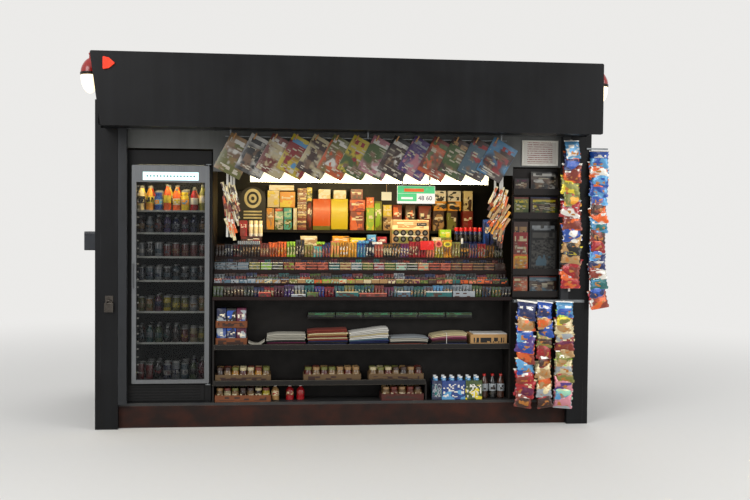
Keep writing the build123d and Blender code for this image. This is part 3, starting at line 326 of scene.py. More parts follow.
# Enamel brushed on in many coats: near black, satin, a faint orange peel, rain streaks, grey rubbed edges
blackEnamel = rigidFinish("blackEnamelSteel", "#08080a", "#131416", "#3c3d3e", roughness=0.42, spread=0.1, specular=0.22,
    grainMm=3.5, depthMm=0.25, patchMm=320)
# Brushed grey enamel: a little chalky, with darker clouds
greyEnamel = rigidFinish("greyEnamelSteel", "#5b5c5a", "#474845", "#7b7b76", roughness=0.46, grainMm=3.0, depthMm=0.2,
    patchMm=200)
# Powder coat: an even fine grain, brown at the rubbed edges
rackPaint = rigidFinish("powderCoatedRackSteel", "#120e0c", "#1e1613", "#55402f", roughness=0.5, specular=0.3, grainMm=1.6,
    depthMm=0.15, patchMm=150)
# Sprayed channel: half gloss, bright where the curtain rubs it
paintedGuide = rigidFinish("paintedGuideSteel", "#25272a", "#191a1c", "#6f7172", roughness=0.45, specular=0.35, grainMm=3.0,
    depthMm=0.1, patchMm=120)
# Plated steel, tarnished by hands: dull brown patches on bright metal
lockSteel = rigidFinish("tarnishedLockSteel", "#55504b", "#3a3632", "#a8a39a", roughness=0.34, metallic=1.0, grainMm=0.8,
    depthMm=0.04, patchMm=20)
# Red oxide primer under worn paint: matt and rough, with rusty blotches
redOxide = rigidFinish("redOxidePaintedSteel", "#1e120e", "#3c1d13", share=0.95, edge="#7a5a48", bare=0.3, roughness=0.7,
    specular=0.25, grainMm=4.0, depthMm=0.5, patchMm=90, streak=(5, 5, 9))
# Oxblood enamel with a warm shine, darkened to near black: partly its own colour, partly painted shade for the dark
# gaps between the packs
oxbloodEnamel = rigidFinish("oxbloodEnamelSteel", "#1f0b08", "#120706", "#4e2a20", roughness=0.45, specular=0.25, grainMm=2.0,
    depthMm=0.15, patchMm=160)
# Stoved enamel on a pressed case: near black, with a slow ripple
cabinetEnamel = rigidFinish("stovedCabinetEnamel", "#09090a", "#121213", "#4a4642", roughness=0.44, specular=0.28, grainMm=7.0,
    patchMm=260)
# Hot-dip galvanised steel: a cold grey spangle with half gloss
galvanised = rigidFinish("galvanisedSteel", "#8b8f92", "#6f7375", "#b3b5b6", roughness=0.42, metallic=0.9, grainMm=8.0,
    patchMm=30, streak=(30, 30, 30))
# Brushed and anodised extrusion: satin, with fine upright lines
anodised = rigidFinish("anodisedAluminium", "#7c7e80", "#6b6d70", "#b9bbbd", roughness=0.34, metallic=1.0, grainMm=0.8,
    depthMm=0.03, patchMm=90, streak=(220, 220, 1.5))
# Dipped epoxy: pale and smooth, a little dirty in patches
coatedWire = rigidFinish("epoxyCoatedShelf", "#b9bbb2", "#9a9c94", "#dcdcd4", roughness=0.4)
# Stoved white enamel: an even soft shine, aged to cream
whiteEnamel = rigidFinish("whiteStovedEnamel", "#e6e3d8", "#cfcabb", "#f2f0e8", roughness=0.4, grainMm=1.4, patchMm=90)
# Wood print pressed under film: brown grain along the board, a thin clear shine
laminate = rigidFinish("woodLaminate", "#6d4526", "#50311b", "#9a754e", roughness=0.35, coat=0.3, grainMm=1.0,
    streak=(3, 60, 60))
# Plywood stained black by brush: matt, its long grain just showing
darkPly = rigidFinish("blackStainedPlywood", "#15110e", "#0b0908", "#4d3d2e", roughness=0.62, specular=0.3, grainMm=2.0,
    depthMm=0.2, patchMm=80, streak=(3, 40, 40))
# The same with a metal lipping: a worn pale line along the front edge
edgedPly = rigidFinish("metalEdgedShelfPlywood", "#17130f", "#0c0a09", "#7d7668", edgeMm=5, bare=0.2, roughness=0.55,
    specular=0.3, grainMm=2.0, depthMm=0.2, patchMm=80, streak=(3, 40, 40))
# Rolled plate, painted and trodden: a coarse grip, brown where the paint has gone
chequerPlate = rigidFinish("paintedFloorPlate", "#232426", "#33302b", "#77746c", roughness=0.5, grainMm=14.0, depthMm=0.9,
    patchMm=140)
# Bitumen felt with mineral grit: wholly matt and grainy
bitumenFelt = rigidFinish("bitumenRoofFelt", "#2a2b2c", "#3b3b3a", roughness=0.9, grainMm=2.2, depthMm=0.9, patchMm=300,
    streak=(2, 2, 2))
# Injection-moulded ABS: a smooth blue grey with a soft shine
mouldedHousing = rigidFinish("mouldedHousingPlastic", "#1d2127", "#272c33", "#5d6a7a", roughness=0.3, grainMm=1.0, patchMm=70)
# Red enamel stoved on a spun hood: deep and glossy
redEnamel = rigidFinish("redLampEnamel", "#a3160f", "#7d0f0b", "#5a2a20", roughness=0.28, coat=0.5)
# Turned and blackened brass: dark, warm metal at the rubbed edges
darkRing = rigidFinish("blackenedBrassRing", "#1b1613", "#2b211a", "#6b5434", roughness=0.4, metallic=0.6, grainMm=1.0,
    patchMm=30)
# Corrugated kraft board, cut and folded: matt, with long brown fibres
kraftBoard = rigidFinish("corrugatedKraftBoard", "#a67c4f", "#8c6640", "#c9a77c", roughness=0.85, grainMm=1.6, depthMm=0.12,
    patchMm=50, streak=(3, 90, 90))
# Plain white sheet and tape, handled: matt, grey in soft patches
printedSheet = rigidFinish("plainPrintedSheet", "#d9d5cd", "#c4bfb4", roughness=0.6, grainMm=1.2, depthMm=0.03)

# Opal glass blown round a lamp, fluorescent tubes, backlit acrylic and a moulded lens: each glows from within
opalGlass = glowFinish("blownOpalGlass", "#fff1d2", "#ffd694", roughness=0.25, strength=1.6, patchMm=90)
tubeGlow = glowFinish("fluorescentTubeGlass", "#fff3c9", "#ffe9ad", roughness=0.3, strength=16.0, patchMm=400)
# The batten is white enamel, no lamp: its glow is painted light for the tubes' light falling on it
battenPaintedGlow = glowFinish("paintedLitBattenEnamel", "#fff8dc", "#ffefb8", roughness=0.3, strength=1.25, patchMm=260)
signGlow = glowFinish("backlitAcrylic", "#e2f6f4", "#9fe6e6", roughness=0.2, strength=0.9, patchMm=160)
lensGlow = glowFinish("redMouldedLens", "#d3260f", "#ff5a24", roughness=0.15, strength=0.5, patchMm=40)
wellGlow = glowFinish("fridgeLightTube", "#fbf7dc", "#fff0b0", roughness=0.3, strength=22.0, patchMm=200)

# Printed film drawn tight over a bar: small sharp creases under a thin metal shine
barFilm = printedFinish("flowWrapFilm",
    [(-0.5, 0.5, 0.6, "ink", "blots", 1.3, 2.2, 0.52), (-0.2, 0.26, 0.38, "accent", "marks", 4.0, 8.0, 0.62),
     (-0.05, 0.22, 0.34, "#cfc19e", "marks", 5.0, 11.0, 0.8)],
    roughness=0.3, metallic=0.12, crinkleMm=5, depthMm=0.5, coat=0.15)
# Metallised film blown up to a bag: broad creases that catch the light
bagFilm = printedFinish("pillowBagFilm",
    [(-0.5, 0.04, 0.6, "ink", "blots", 1.5, 1.9, 0.5), (-0.34, -0.1, 0.28, "#b9752c", "blots", 3.2, 3.6, 0.57),
     (0.06, 0.24, 0.36, "accent", "marks", 6.0, 9.0, 0.56), (0.45, 0.6, 0.6, "accent")],
    soft=0.03, slide=0.06, roughness=0.18, metallic=0.3, crinkleMm=18, depthMm=3.4, distortion=1.8, coat=0.4)
# Carton board, printed, varnished and folded: flat faces with a mild shine
printedCarton = printedFinish("printedCarton",
    [(-0.5, 0.5, 0.6, "ink", "blots", 1.5, 2.0, 0.55), (-0.32, 0.0, 0.36, "accent", "blots", 4.0, 4.5, 0.5),
     (0.08, 0.3, 0.38, "#e6dcc2", "marks", 4.0, 15.0, 0.5)],
    roughness=0.42, crinkleMm=12, depthMm=0.15, coat=0.15)
# Whole-colour board with a darker band along the foot: the two big boxes stay calm among the small prints
plainCarton = printedFinish("plainPrintedCarton",
    [(-0.5, -0.36, 0.6, "ink")], soft=0.08, roughness=0.42, crinkleMm=12, depthMm=0.15, coat=0.15)
# Coated paper, offset printed and bound: soft pictures, lines of small type and a slack shine
coverPaper = printedFinish("coatedCoverPaper",
    [(-0.5, 0.34, 0.6, "ink", "blots", 1.4, 1.8, 0.5), (-0.38, 0.22, 0.36, "#5d4632", "blots", 2.4, 3.0, 0.56),
     (-0.3, 0.18, 0.4, "accent", "blots", 3.2, 4.0, 0.62), (-0.14, 0.27, 0.42, "#8f8874", "marks", 5.0, 24.0, 0.74),
     (-0.48, 0.1, 0.46, "ink", "blots", 6.0, 7.0, 0.6), (0.31, 0.43, 0.42, "accent", "marks", 8.0, 9.0, 0.4),
     (-0.43, -0.28, 0.36, "#a29a88", "marks", 7.0, 34.0, 0.66)],
    soft=0.05, slide=0.03, roughness=0.3, crinkleMm=60, depthMm=1.2, coat=0.2, patchMm=90)
# Blow-moulded bottles, each with a wrapped label: smooth and glossy, with a grey, white or red cap
drinkPlastic = printedFinish("blownBottlePlastic",
    [(-0.18, 0.1, 0.6, "ink"), (-0.14, 0.06, 0.42, "accent", "marks", 4.0, 12.0, 0.52), (0.43, 0.7, 0.6, "#7f817e")],
    slide=0.05, roughness=0.12, crinkleMm=30, depthMm=0.3, coat=0.5)
waterPlastic = printedFinish("paleWaterBottlePlastic",
    [(-0.18, 0.1, 0.6, "ink"), (-0.14, 0.06, 0.42, "accent", "marks", 4.0, 12.0, 0.52), (0.42, 0.7, 0.6, "#e9ebe8")],
    slide=0.0, roughness=0.12, crinkleMm=30, depthMm=0.3, coat=0.5)
redCapBottle = printedFinish("redCappedBottle",
    [(-0.2, 0.1, 0.6, "ink"), (-0.14, 0.04, 0.3, "#2a211d", "marks", 4.0, 9.0, 0.5), (0.4, 0.7, 0.6, "#b01a12")],
    slide=0.0, roughness=0.12, crinkleMm=30, depthMm=0.3, coat=0.5)
# Moulded jars with a paper label: a softer shine than the bottles, with a coloured or red lid
jarPrint = printedFinish("labelledJar",
    [(-0.3, 0.12, 0.6, "ink"), (-0.24, 0.06, 0.4, "#d8cba8", "marks", 4.0, 9.0, 0.55), (0.3, 0.7, 0.6, "accent")],
    slide=0.02, roughness=0.3, crinkleMm=20, depthMm=0.1, coat=0.3)
redCapJar = printedFinish("redCappedJar",
    [(-0.26, 0.14, 0.6, "ink"), (0.29, 0.7, 0.6, "#c4170f")],
    slide=0.0, roughness=0.2, crinkleMm=20, depthMm=0.1, coat=0.4)
# Folded newsprint: matt, grey with handling, a dark line of print along the fold
newsprint = printedFinish("foldedNewsprint",
    [(-0.1, 0.0, 0.46, "ink")],
    slide=0.3, roughness=0.9, crinkleMm=22, depthMm=0.8, patchMm=18, fade="#8f8a82")
# The same, open at a page: columns too fine to read, drawn coarse so that they show
textPaper = printedFinish("printedNewsPage",
    [(-0.44, 0.28, 0.45, "ink", "marks", 16.0, 44.0, 0.45), (-0.3, 0.12, 0.28, "accent", "blots", 3.0, 4.0, 0.52),
     (0.33, 0.45, 0.42, "ink", "marks", 8.0, 10.0, 0.3)],
    slide=0.0, roughness=0.7, crinkleMm=40, depthMm=0.6, patchMm=60, fade="#8f8a82")
# Varnished board seen at its folded edge: a coloured band between two pale ones
edgedCarton = printedFinish("edgePrintedCarton",
    [(-0.3, 0.3, 0.44, "ink", "blots", 3.0, 1.2, 0.52), (-0.6, -0.4, 0.6, "accent"), (0.4, 0.6, 0.6, "accent")],
    slide=0.0, roughness=0.4, crinkleMm=12, depthMm=0.1)
# Varnished display trays: a mild shine, with a rim of another colour
trayRim = printedFinish("rimmedDisplayCarton",
    [(-0.38, 0.28, 0.44, "ink", "marks", 6.0, 4.0, 0.6), (0.38, 0.7, 0.6, "accent")],
    slide=0.0, roughness=0.4, crinkleMm=12, depthMm=0.1, coat=0.1)
# Corrugated board printed in one colour: matt, with broken brown print
trayBoard = printedFinish("printedKraftTray",
    [(-0.28, 0.26, 0.42, "ink", "marks", 11.0, 4.0, 0.5)], roughness=0.75, crinkleMm=5, depthMm=0.3, fade="#6e4f30")
boxBoard = printedFinish("printedKraftBox",
    [(-0.2, 0.22, 0.42, "ink", "marks", 27.0, 2.4, 0.42)],
    slide=0.0, roughness=0.8, crinkleMm=5, depthMm=0.3, fade="#9a8250")
# Clear printed film shrunk round bottles: tight folds with a wet shine
shrinkPrint = printedFinish("printedShrinkFilm",
    [(-0.5, 0.3, 0.6, "ink", "blots", 2.2, 3.0, 0.5), (-0.34, 0.34, 0.44, "accent", "marks", 13.0, 15.0, 0.62)],
    slide=0.04, alpha=0.93, roughness=0.14, crinkleMm=16, depthMm=2.0, coat=0.6)
# Screen-printed card and moulded caps: one flat colour each
cardPrint = printedFinish("screenPrintedCard", [], roughness=0.5, crinkleMm=20, depthMm=0.05, fade="#f4f2ea")
# Thin card with the tubes close behind it: its glow is painted light for the tubes' light coming through, so that it
# stands out of the shade
litCard = printedFinish("backlitPriceCard",
    [], roughness=0.5, crinkleMm=20, depthMm=0.05, fade="#f4f2ea", glow=0.3)
# Printed board of the poster, in its two flat colours: smooth and barely glossy
posterBlack = rigidFinish("blackPrintedBoard", "#121110", "#1f1c19", roughness=0.5, depthMm=0.03)
posterCream = rigidFinish("creamPrintedBoard", "#e6dcae", "#cbbd88", roughness=0.5, depthMm=0.03)

ruledPrint = {
    "paper": "#cfcac0", "print": "#8a4038", "roughness": 0.35, "coat": 0.5,
    # lines: pitch, share of it that is printed, breaks for each metre along x, y and z, and share of the noise left bare
    "lineMm": 16, "lineShare": 0.36, "breaks": (160, 1, 62), "bare": 0.42,
    "middle": 1.45, "halfWidth": 0.098,
}


def ruledFinish():
    # A printed notice under its glaze: rows of broken red brown lines on warm white, drawn coarse so that they show,
    # and too small to be read
    material, tree, shader = startMaterial("ruledNoticePaper", {
        "Roughness": ruledPrint["roughness"], "Coat Weight": ruledPrint["coat"]})
    place = addNode(tree, "TexCoord").outputs["Object"]
    axes = addNode(tree, "SeparateXYZ", None, {0: place}).outputs
    rows = addNode(tree, "Math", "MULTIPLY", {0: axes["Z"], 1: 1000 / ruledPrint["lineMm"]})
    wave = addNode(tree, "Math", "FRACT", {0: rows})
    lined = addNode(tree, "Math", "LESS_THAN", {0: wave, 1: ruledPrint["lineShare"]})
    stretched = addNode(tree, "Mapping", None, {"Vector": place, "Scale": ruledPrint["breaks"]})
    noise = addNode(tree, "TexNoise", None, {"Vector": stretched, "Scale": 1.0, "Detail": 1.0})
    words = addNode(tree, "Math", "GREATER_THAN", {0: noise, 1: ruledPrint["bare"]})
    inside = addNode(tree, "Math", "COMPARE", {0: axes["X"], 1: ruledPrint["middle"], 2: ruledPrint["halfWidth"]})
    first = addNode(tree, "Math", "MULTIPLY", {0: lined, 1: words})
    share = addNode(tree, "Math", "MULTIPLY", {0: first, 1: inside})
    colour = addNode(tree, "Mix", {"data_type": "RGBA"}, {
        0: share, 6: toLinear(ruledPrint["paper"]), 7: toLinear(ruledPrint["print"])}).outputs[2]
    tree.links.new(colour, shader.inputs["Base Color"])
    return material


ruledSheet = ruledFinish()
# Float glass, tempered: dark and clear, with a sharp reflection
doorGlass = startMaterial("temperedDoorGlass", {
    "Base Color": toLinear("#0a0d0e"), "Alpha": 0.3, "Roughness": 0.03, "IOR": 1.52, "Specular IOR Level": 0.3})[0]
print("finishes ready")


# Materials on the CAD nodes that stay

def dress(material, *names):
    # these nodes keep their shape and get this material
    for name in names:
        nodes[name].data.materials.clear()
        nodes[name].data.materials.append(material)


dress(blackEnamel, "left_wall", "right_wall", "back_wall", "fascia_board", "fascia_casing", "fascia_ends",
      "soffit", "left_corner_post", "right_corner_post")
dress(bitumenFelt, "roof_panel")
dress(greyEnamel, "header_panel")
dress(galvanised, "rolled_shutter", "fridge_hinges", "snack_hangers", "magazine_rail")
dress(paintedGuide, "shutter_guides")
dress(cabinetEnamel, "fridge_cabinet", "fridge_kick")
dress(coatedWire, "fridge_shelves")
dress(anodised, "fridge_door")
dress(doorGlass, "fridge_door_glass")
dress(signGlow, "fridge_sign_panel")
dress(redOxide, "base_plinth")
dress(chequerPlate, "floor_plate")
dress(darkPly, "display_ends", "counter_panel", "back_shelf")
dress(edgedPly, "display_shelves")
dress(oxbloodEnamel, "candy_rack")
dress(rackPaint, "rack_panel")
dress(laminate, "serving_counter")
dress(whiteEnamel, "notice_frame")
dress(battenPaintedGlow, "light_batten")
dress(tubeGlow, "light_tubes")
dress(lensGlow, "marker_lens")
dress(mouldedHousing, "wall_box")
dress(lockSteel, "padlock")
print("frame dressed")


# Shapes of the goods

wrapColours = {
    "silver": "#9da3a6", "navy": "#1a2757", "cherry": "#9c1219", "plum": "#64103c", "mint": "#93c9ab", "teal": "#0e6462",
    "royal": "#1d4a9e", "cream": "#dccb9b", "moss": "#4a6420", "lime": "#97c42a", "orange": "#dd5f19", "amber": "#e39a1b",
    "yellow": "#e2ca2b", "cocoa": "#43261a", "tan": "#b08855", "white": "#e6e2d7", "black": "#171616", "rose": "#cf8590",
    "sky": "#5799c6", "violet": "#51337a", "steel": "#53707f", "brick": "#83301f", "salmon": "#e0795a", "olive": "#7a7a34",
    "rust": "#8a4a1e", "paper": "#b7b2a2", "leaf": "#4fbf77",
    "aqua": "#3aa69c", "coal": "#5c5a55", "gold": "#d9a514", "scarlet": "#d8180c"}


def paints(words):
    # the colours with these names, as linear rows
    return np.array([toLinear(wrapColours[word]) for word in words.split()])


def bagShape(ring, levels, seal, pinch, ripple):
    # A filled bag between flat seals. With s = sin(pi w), w the share of the way between the seals, its half width is
    # (1 - pinch s ** 0.6) / 2 and its half depth s ** 0.6 / 2, rippled round the ring by 1 + ripple sin 7t near the seals.
    thin = 0.06  # share of the depth that is left at a seal
    between = np.linspace(0, 1, levels)
    puff = np.concatenate(([thin], np.maximum(np.sin(math.pi * between) ** 0.6, thin), [thin]))
    heights = np.concatenate(([-0.5], -0.5 + seal + (1 - 2 * seal) * between, [0.5]))
    points, quads = loft(roundOutline(ring), heights, np.stack((1 - pinch * puff, puff), -1))
    fold = np.interp(points[:, 2], heights, puff)
    around = np.arctan2(points[:, 1] / np.maximum(fold, thin), points[:, 0])
    points[:, 1] *= 1 + ripple * np.sin(7 * around) * (1.3 - fold)
    points[:, 0] *= 1 + 0.3 * ripple * np.sin(9 * points[:, 2] * math.pi)
    return points, quads


def turned(profile, sides):
    # a shape turned on the z axis: unit diameter and height, profile of (height, diameter)
    heights, radii = np.array(profile).T
    return loft(roundOutline(sides), heights, radii)


def trayShape(size, wall):
    # an open tray: up the outside, over the rim, down the inside to the floor
    inner = [1 - 2 * wall / size[0], 1 - 2 * wall / size[1]]
    floor = -0.5 + wall / size[2]
    return loft(squareOutline(0.01, 0.015, 2), [-0.5, 0.5, 0.5, floor], [1, 1, inner, inner])


def foldShape(stations):
    # a folded paper lying flat: a stadium outline in y and z carried along x
    points, quads = loft(squareOutline(0.06, 0.42, 3), np.linspace(-0.5, 0.5, stations), np.ones(stations))
    return points[:, [2, 0, 1]], quads


def sheetShape(levels):
    # a thin upright leaf with levels up its height, so that it can bow
    return loft(squareOutline(0.01, 0.3, 2), np.linspace(-0.5, 0.5, levels), np.ones(levels))


bottleShape = turned([
    (-0.5, 0.84), (-0.47, 1.0), (-0.19, 0.97), (-0.17, 1.0), (0.1, 1.0), (0.13, 0.96), (0.22, 0.88), (0.32, 0.56),
    (0.39, 0.38), (0.42, 0.36), (0.425, 0.44), (0.49, 0.44), (0.5, 0.38)], 14)
jarShape = turned([
    (-0.5, 0.9), (-0.46, 1.0), (0.2, 1.0), (0.27, 0.82), (0.29, 0.8), (0.3, 0.92), (0.48, 0.92), (0.5, 0.86)], 14)
canShape = turned([(-0.5, 0.8), (-0.44, 1.0), (0.4, 1.0), (0.46, 0.86), (0.5, 0.86)], 14)
barShape = bagShape(8, 5, 0.05, 0.1, 0.0)
snackShape = bagShape(20, 13, 0.05, 0.08, 0.2)
uprightDisc, discQuads = loft(roundOutline(20), [-0.5, 0.5], [1, 1])
turnedDisc = (uprightDisc[:, [0, 2, 1]], discQuads)
boxShape = block((0.2, 0.15, 0.15), 0.003)


def boxesAt(rows):
    # boxes from rows of (left, right, front, back, bottom, top, colour and perhaps one or two print colours)
    edges = np.array([r[:6] for r in rows], float)
    low, high = edges[:, ::2], edges[:, 1::2]
    words = [r[6].split() for r in rows]
    tint, ink, accent = (paints(" ".join(w[min(k, len(w) - 1)] for w in words)) for k in range(3))
    return goods(boxShape, high - low, (low + high) / 2, tint, ink, np.linspace(0.1, 0.9, len(rows)), None, accent)


def tapeRow(x, face, bottom, top):
    # the tape that carries clipped packs, as a row for boxesAt
    half, thick = 0.008, 0.003
    return (x - half, x + half, face, face + thick, bottom, top, "white")


# Candy on the steps: upright bars in runs of one kind, small trays, and flat packs stacked with their pale edges out

candy = {
    # painted shade: the bars' colours are darkened step by step, the lower steps most, and more towards both ends of a
    # step
    "riseMm": 95, "runMm": 90, "shades": (0.62, 0.66, 0.66, 0.98), "paintedEndShade": 0.45,
    # bars: fewest colours on a step, row pitch in thicknesses, width in pitches; print of a neighbour's and their own colour
    "fewest": 26, "rowPitch": 1.25, "barWide": 0.92, "uneven": 0.0012, "lean": 0.025, "tints": (0.75, 1.1),
    "inkShares": (0.4, 0.3), "accents": "cream tan silver amber cocoa white", "accentShade": 0.75, "pickSpread": 0.002,
    # trays on the second step, and display trays on the lowest
    "trayWide": 0.95, "trayDeep": 0.05, "trayTall": 0.042, "trayShade": 0.9, "displayDeep": 0.052, "displayShade": 0.8,
    "trayWall": 0.0012, "trayMiddle": 0.024,
    # flat packs: width in pitches, shades of their sides and print
    "layers": 3, "layerPitch": 0.0215, "flatWide": 0.94, "flatDeep": 0.055, "flatTall": 0.0205, "flatMiddle": 0.032,
    "flatShades": (0.6, 0.5),
    # caps: shape, middle from the edge, and depth, which is the width where none is given
    "capKinds": {"can": (canShape, 0.006, None), "disc": (turnedDisc, -0.0045, 0.008), "core": (turnedDisc, -0.0092, 0.001),
                 "box": (boxShape, -0.0045, 0.008)},
    "upright": [
        # step, from its front edge, rows, in a run, lowest, added by each digit of the heights, thickness, heights, colours
        (0, 0.011, 2, 3, 0.07, 0.004, 0.018, "445522576643566763454567786544",
         "moss cocoa cocoa black navy cherry plum violet silver teal royal cherry teal olive teal moss brick plum steel steel "
         "teal steel sky steel silver silver moss cocoa moss black"),
        (0, 0.062, 1, 4, 0.08, 0.001, 0.014, "3",
         "cocoa black navy cocoa black plum teal black cocoa moss navy black brick cocoa navy black"),
        (1, 0.014, 1, 4, 0.052, 0.002, 0.016, "14523146",
         "silver navy plum cocoa olive moss cocoa teal orange cocoa navy moss cherry black"),
        (1, 0.052, 2, 3, 0.07, 0.002, 0.015, "2647135",
         "silver cocoa black navy brick cocoa teal black plum moss cocoa black navy brick"),
        (2, 0.066, 1, 3, 0.078, 0.002, 0.016, "1352476",
         "cocoa black navy cocoa brick black cocoa plum teal black cocoa navy"),
        (3, 0.012, 2, 3, 0.084, 0.007, 0.02, "234464566831577667655577689765543",
         "cocoa black black black cocoa brick orange orange lime black olive aqua navy salmon amber amber royal black cherry "
         "black black plum cherry cherry salmon yellow amber olive black navy cherry cocoa black"),
    ],
    "trays": "silver steel silver steel silver tan cream tan cocoa olive tan mint orange lime tan cream tan tan cream tan tan "
             "plum olive cocoa tan moss cocoa brick salmon teal orange moss orange brick cocoa black",
    "flatPacks": "silver silver silver olive lime black brick salmon cocoa brick teal tan silver moss cherry moss mint "
                 "black salmon brick brick cocoa brick cocoa black cocoa",
    "flatEdges": "steel steel steel cream white white tan salmon salmon salmon white cream white cream white cream white white "
                 "cream salmon salmon tan tan tan tan cocoa",
    # display trays on the lowest step: left, right, height, colour, colour of the rim
    "display": [(-0.66, -0.572, 0.046, "cherry", "salmon"), (-0.42, -0.315, 0.03, "silver", "white"),
                (-0.305, -0.222, 0.044, "moss", "olive"), (-0.088, 0.078, 0.05, "teal", "cream"),
                (0.088, 0.292, 0.04, "brick", "salmon"), (0.372, 0.47, 0.052, "steel", "white"),
                (0.592, 0.785, 0.052, "teal", "white"), (0.795, 0.962, 0.054, "silver", "silver")],
    # caps, discs and pens among the highest: left, right, count, bottom above the step, height, width, shape, colour
    "caps": [(-0.826, -0.655, 11, 0.104, 0.026, 0.0125, "can", "silver"), (0.098, 0.182, 3, 0.118, 0.02, 0.026, "can", "sky"),
             (0.205, 0.285, 3, 0.112, 0.018, 0.026, "can", "white"), (-0.226, -0.16, 3, 0.108, 0.02, 0.02, "can", "lime"),
             (0.694, 0.756, 1, 0.09, 0.056, 0.06, "disc", "salmon"), (0.76, 0.832, 1, 0.094, 0.042, 0.068, "disc", "yellow"),
             (0.709, 0.741, 1, 0.101, 0.034, 0.032, "core", "cherry"), (0.778, 0.814, 1, 0.104, 0.022, 0.036, "core", "olive"),
             (0.58, 0.69, 1, 0.07, 0.07, 0.106, "box", "scarlet"), (0.903, 0.923, 1, 0.118, 0.045, 0.018, "can", "white")],
}


def makeCandy():
    rng = np.random.default_rng(11)
    low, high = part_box("candy_packs")
    left, wide = low.x, high.x - low.x

    def tier(level):
        # the front edge and the floor of a step
        return low.y + level * candy["runMm"] / 1000, low.z + level * candy["riseMm"] / 1000

    def along(count):
        # the middles of so many equal places along a step
        return left + (np.arange(count) + 0.5) * wide / count

    parts = []
    accents = paints(candy["accents"])
    for level, start, rows, inRun, lowest, step, thick, digits, words in candy["upright"]:
        front, base = tier(level)
        colours = paints(words)
        while len(colours) < candy["fewest"]:
            colours = np.concatenate((colours, np.roll(colours, 3, axis=0)))
        runs = len(colours)
        count = runs * inRun
        x = along(count)
        steps = np.resize([int(digit) for digit in digits], runs)
        # painted shade: darker on the lower steps and towards both ends of the step
        shade = candy["shades"][level] * (1 - candy["paintedEndShade"] * np.abs(2 * (x - left) / wide - 1) ** 4)[:, None]
        beside, own = candy["inkShares"]
        ink = np.repeat(np.roll(colours, 5, axis=0) * beside + colours * own, inRun, axis=0) * shade
        for row in range(rows):
            height = np.repeat(lowest + step * steps, inRun) + rng.normal(0, candy["uneven"], count)
            place = rowsOf(x, front + start + thick * candy["rowPitch"] * row, base + height / 2)
            size = rowsOf(candy["barWide"] * wide / count, thick, height)
            tint = np.repeat(colours, inRun, axis=0) * rng.uniform(*candy["tints"], (count, 1)) * shade
            accent = np.repeat(accents[rng.integers(0, len(accents), runs)], inRun, axis=0) * candy["accentShade"] * shade
            pick = np.repeat(rng.random(runs), inRun) + rng.normal(0, candy["pickSpread"], count)
            lean = turnAbout("y", rng.normal(0, candy["lean"], count))
            parts.append(goods(barShape, size, place, tint, ink, pick, lean, accent))
    makePiece("candy_bars", joined(parts), barFilm, ("candy_packs",))

    front, base = tier(1)
    tint = paints(candy["trays"])
    count = len(tint)
    pitch, deep, tall = wide / count, candy["trayDeep"], candy["trayTall"]
    place = rowsOf(along(count), front + candy["trayMiddle"], base + tall / 2)
    boards = [goods(trayShape((pitch, deep, tall), candy["trayWall"]), (candy["trayWide"] * pitch, deep, tall), place,
                    tint * candy["trayShade"], np.roll(tint, 3, axis=0), rng.random(count))]
    front, base = tier(0)
    for first, last, tall, word, rim in candy["display"]:
        size = (last - first, candy["displayDeep"], tall)
        middle = [((first + last) / 2, front + candy["trayMiddle"], base + tall / 2)]
        boards.append(goods(trayShape(size, candy["trayWall"]), size, middle, paints(word) * candy["displayShade"],
                            paints("cocoa"), rng.random(1), None, paints(rim)))
    makePiece("candy_cartons", joined(boards), trayRim)

    front, base = tier(2)
    tint, edge = paints(candy["flatPacks"]), paints(candy["flatEdges"])
    count, layers = len(tint), candy["layers"]
    z = base + (np.repeat(np.arange(layers), count) + 0.5) * candy["layerPitch"]
    x = np.tile(along(count), layers) + rng.normal(0, candy["uneven"], z.size)
    size = (candy["flatWide"] * wide / count, candy["flatDeep"], candy["flatTall"])
    side, inked = candy["flatShades"]
    packs = goods(boxShape, size, rowsOf(x, front + candy["flatMiddle"], z), np.tile(tint, (layers, 1)) * side,
                  np.tile(np.roll(tint, 2, axis=0), (layers, 1)) * inked, rng.random(z.size), None, np.tile(edge, (layers, 1)))
    makePiece("flat_packs", packs, edgedCarton)

    front, base = tier(3)
    tops = []
    for first, last, count, bottom, tall, width, kind, word in candy["caps"]:
        x = np.linspace(first, last, 2 * count + 1)[1::2]
        shape, back, deep = candy["capKinds"][kind]
        place = rowsOf(x, front + back, base + bottom + tall / 2)
        tops.append(goods(shape, (width, deep or width, tall), place, paints(word), None, rng.random(count)))
    makePiece("candy_caps", joined(tops), cardPrint)


# Bags clipped to strips: shingled, each leaning out over the next

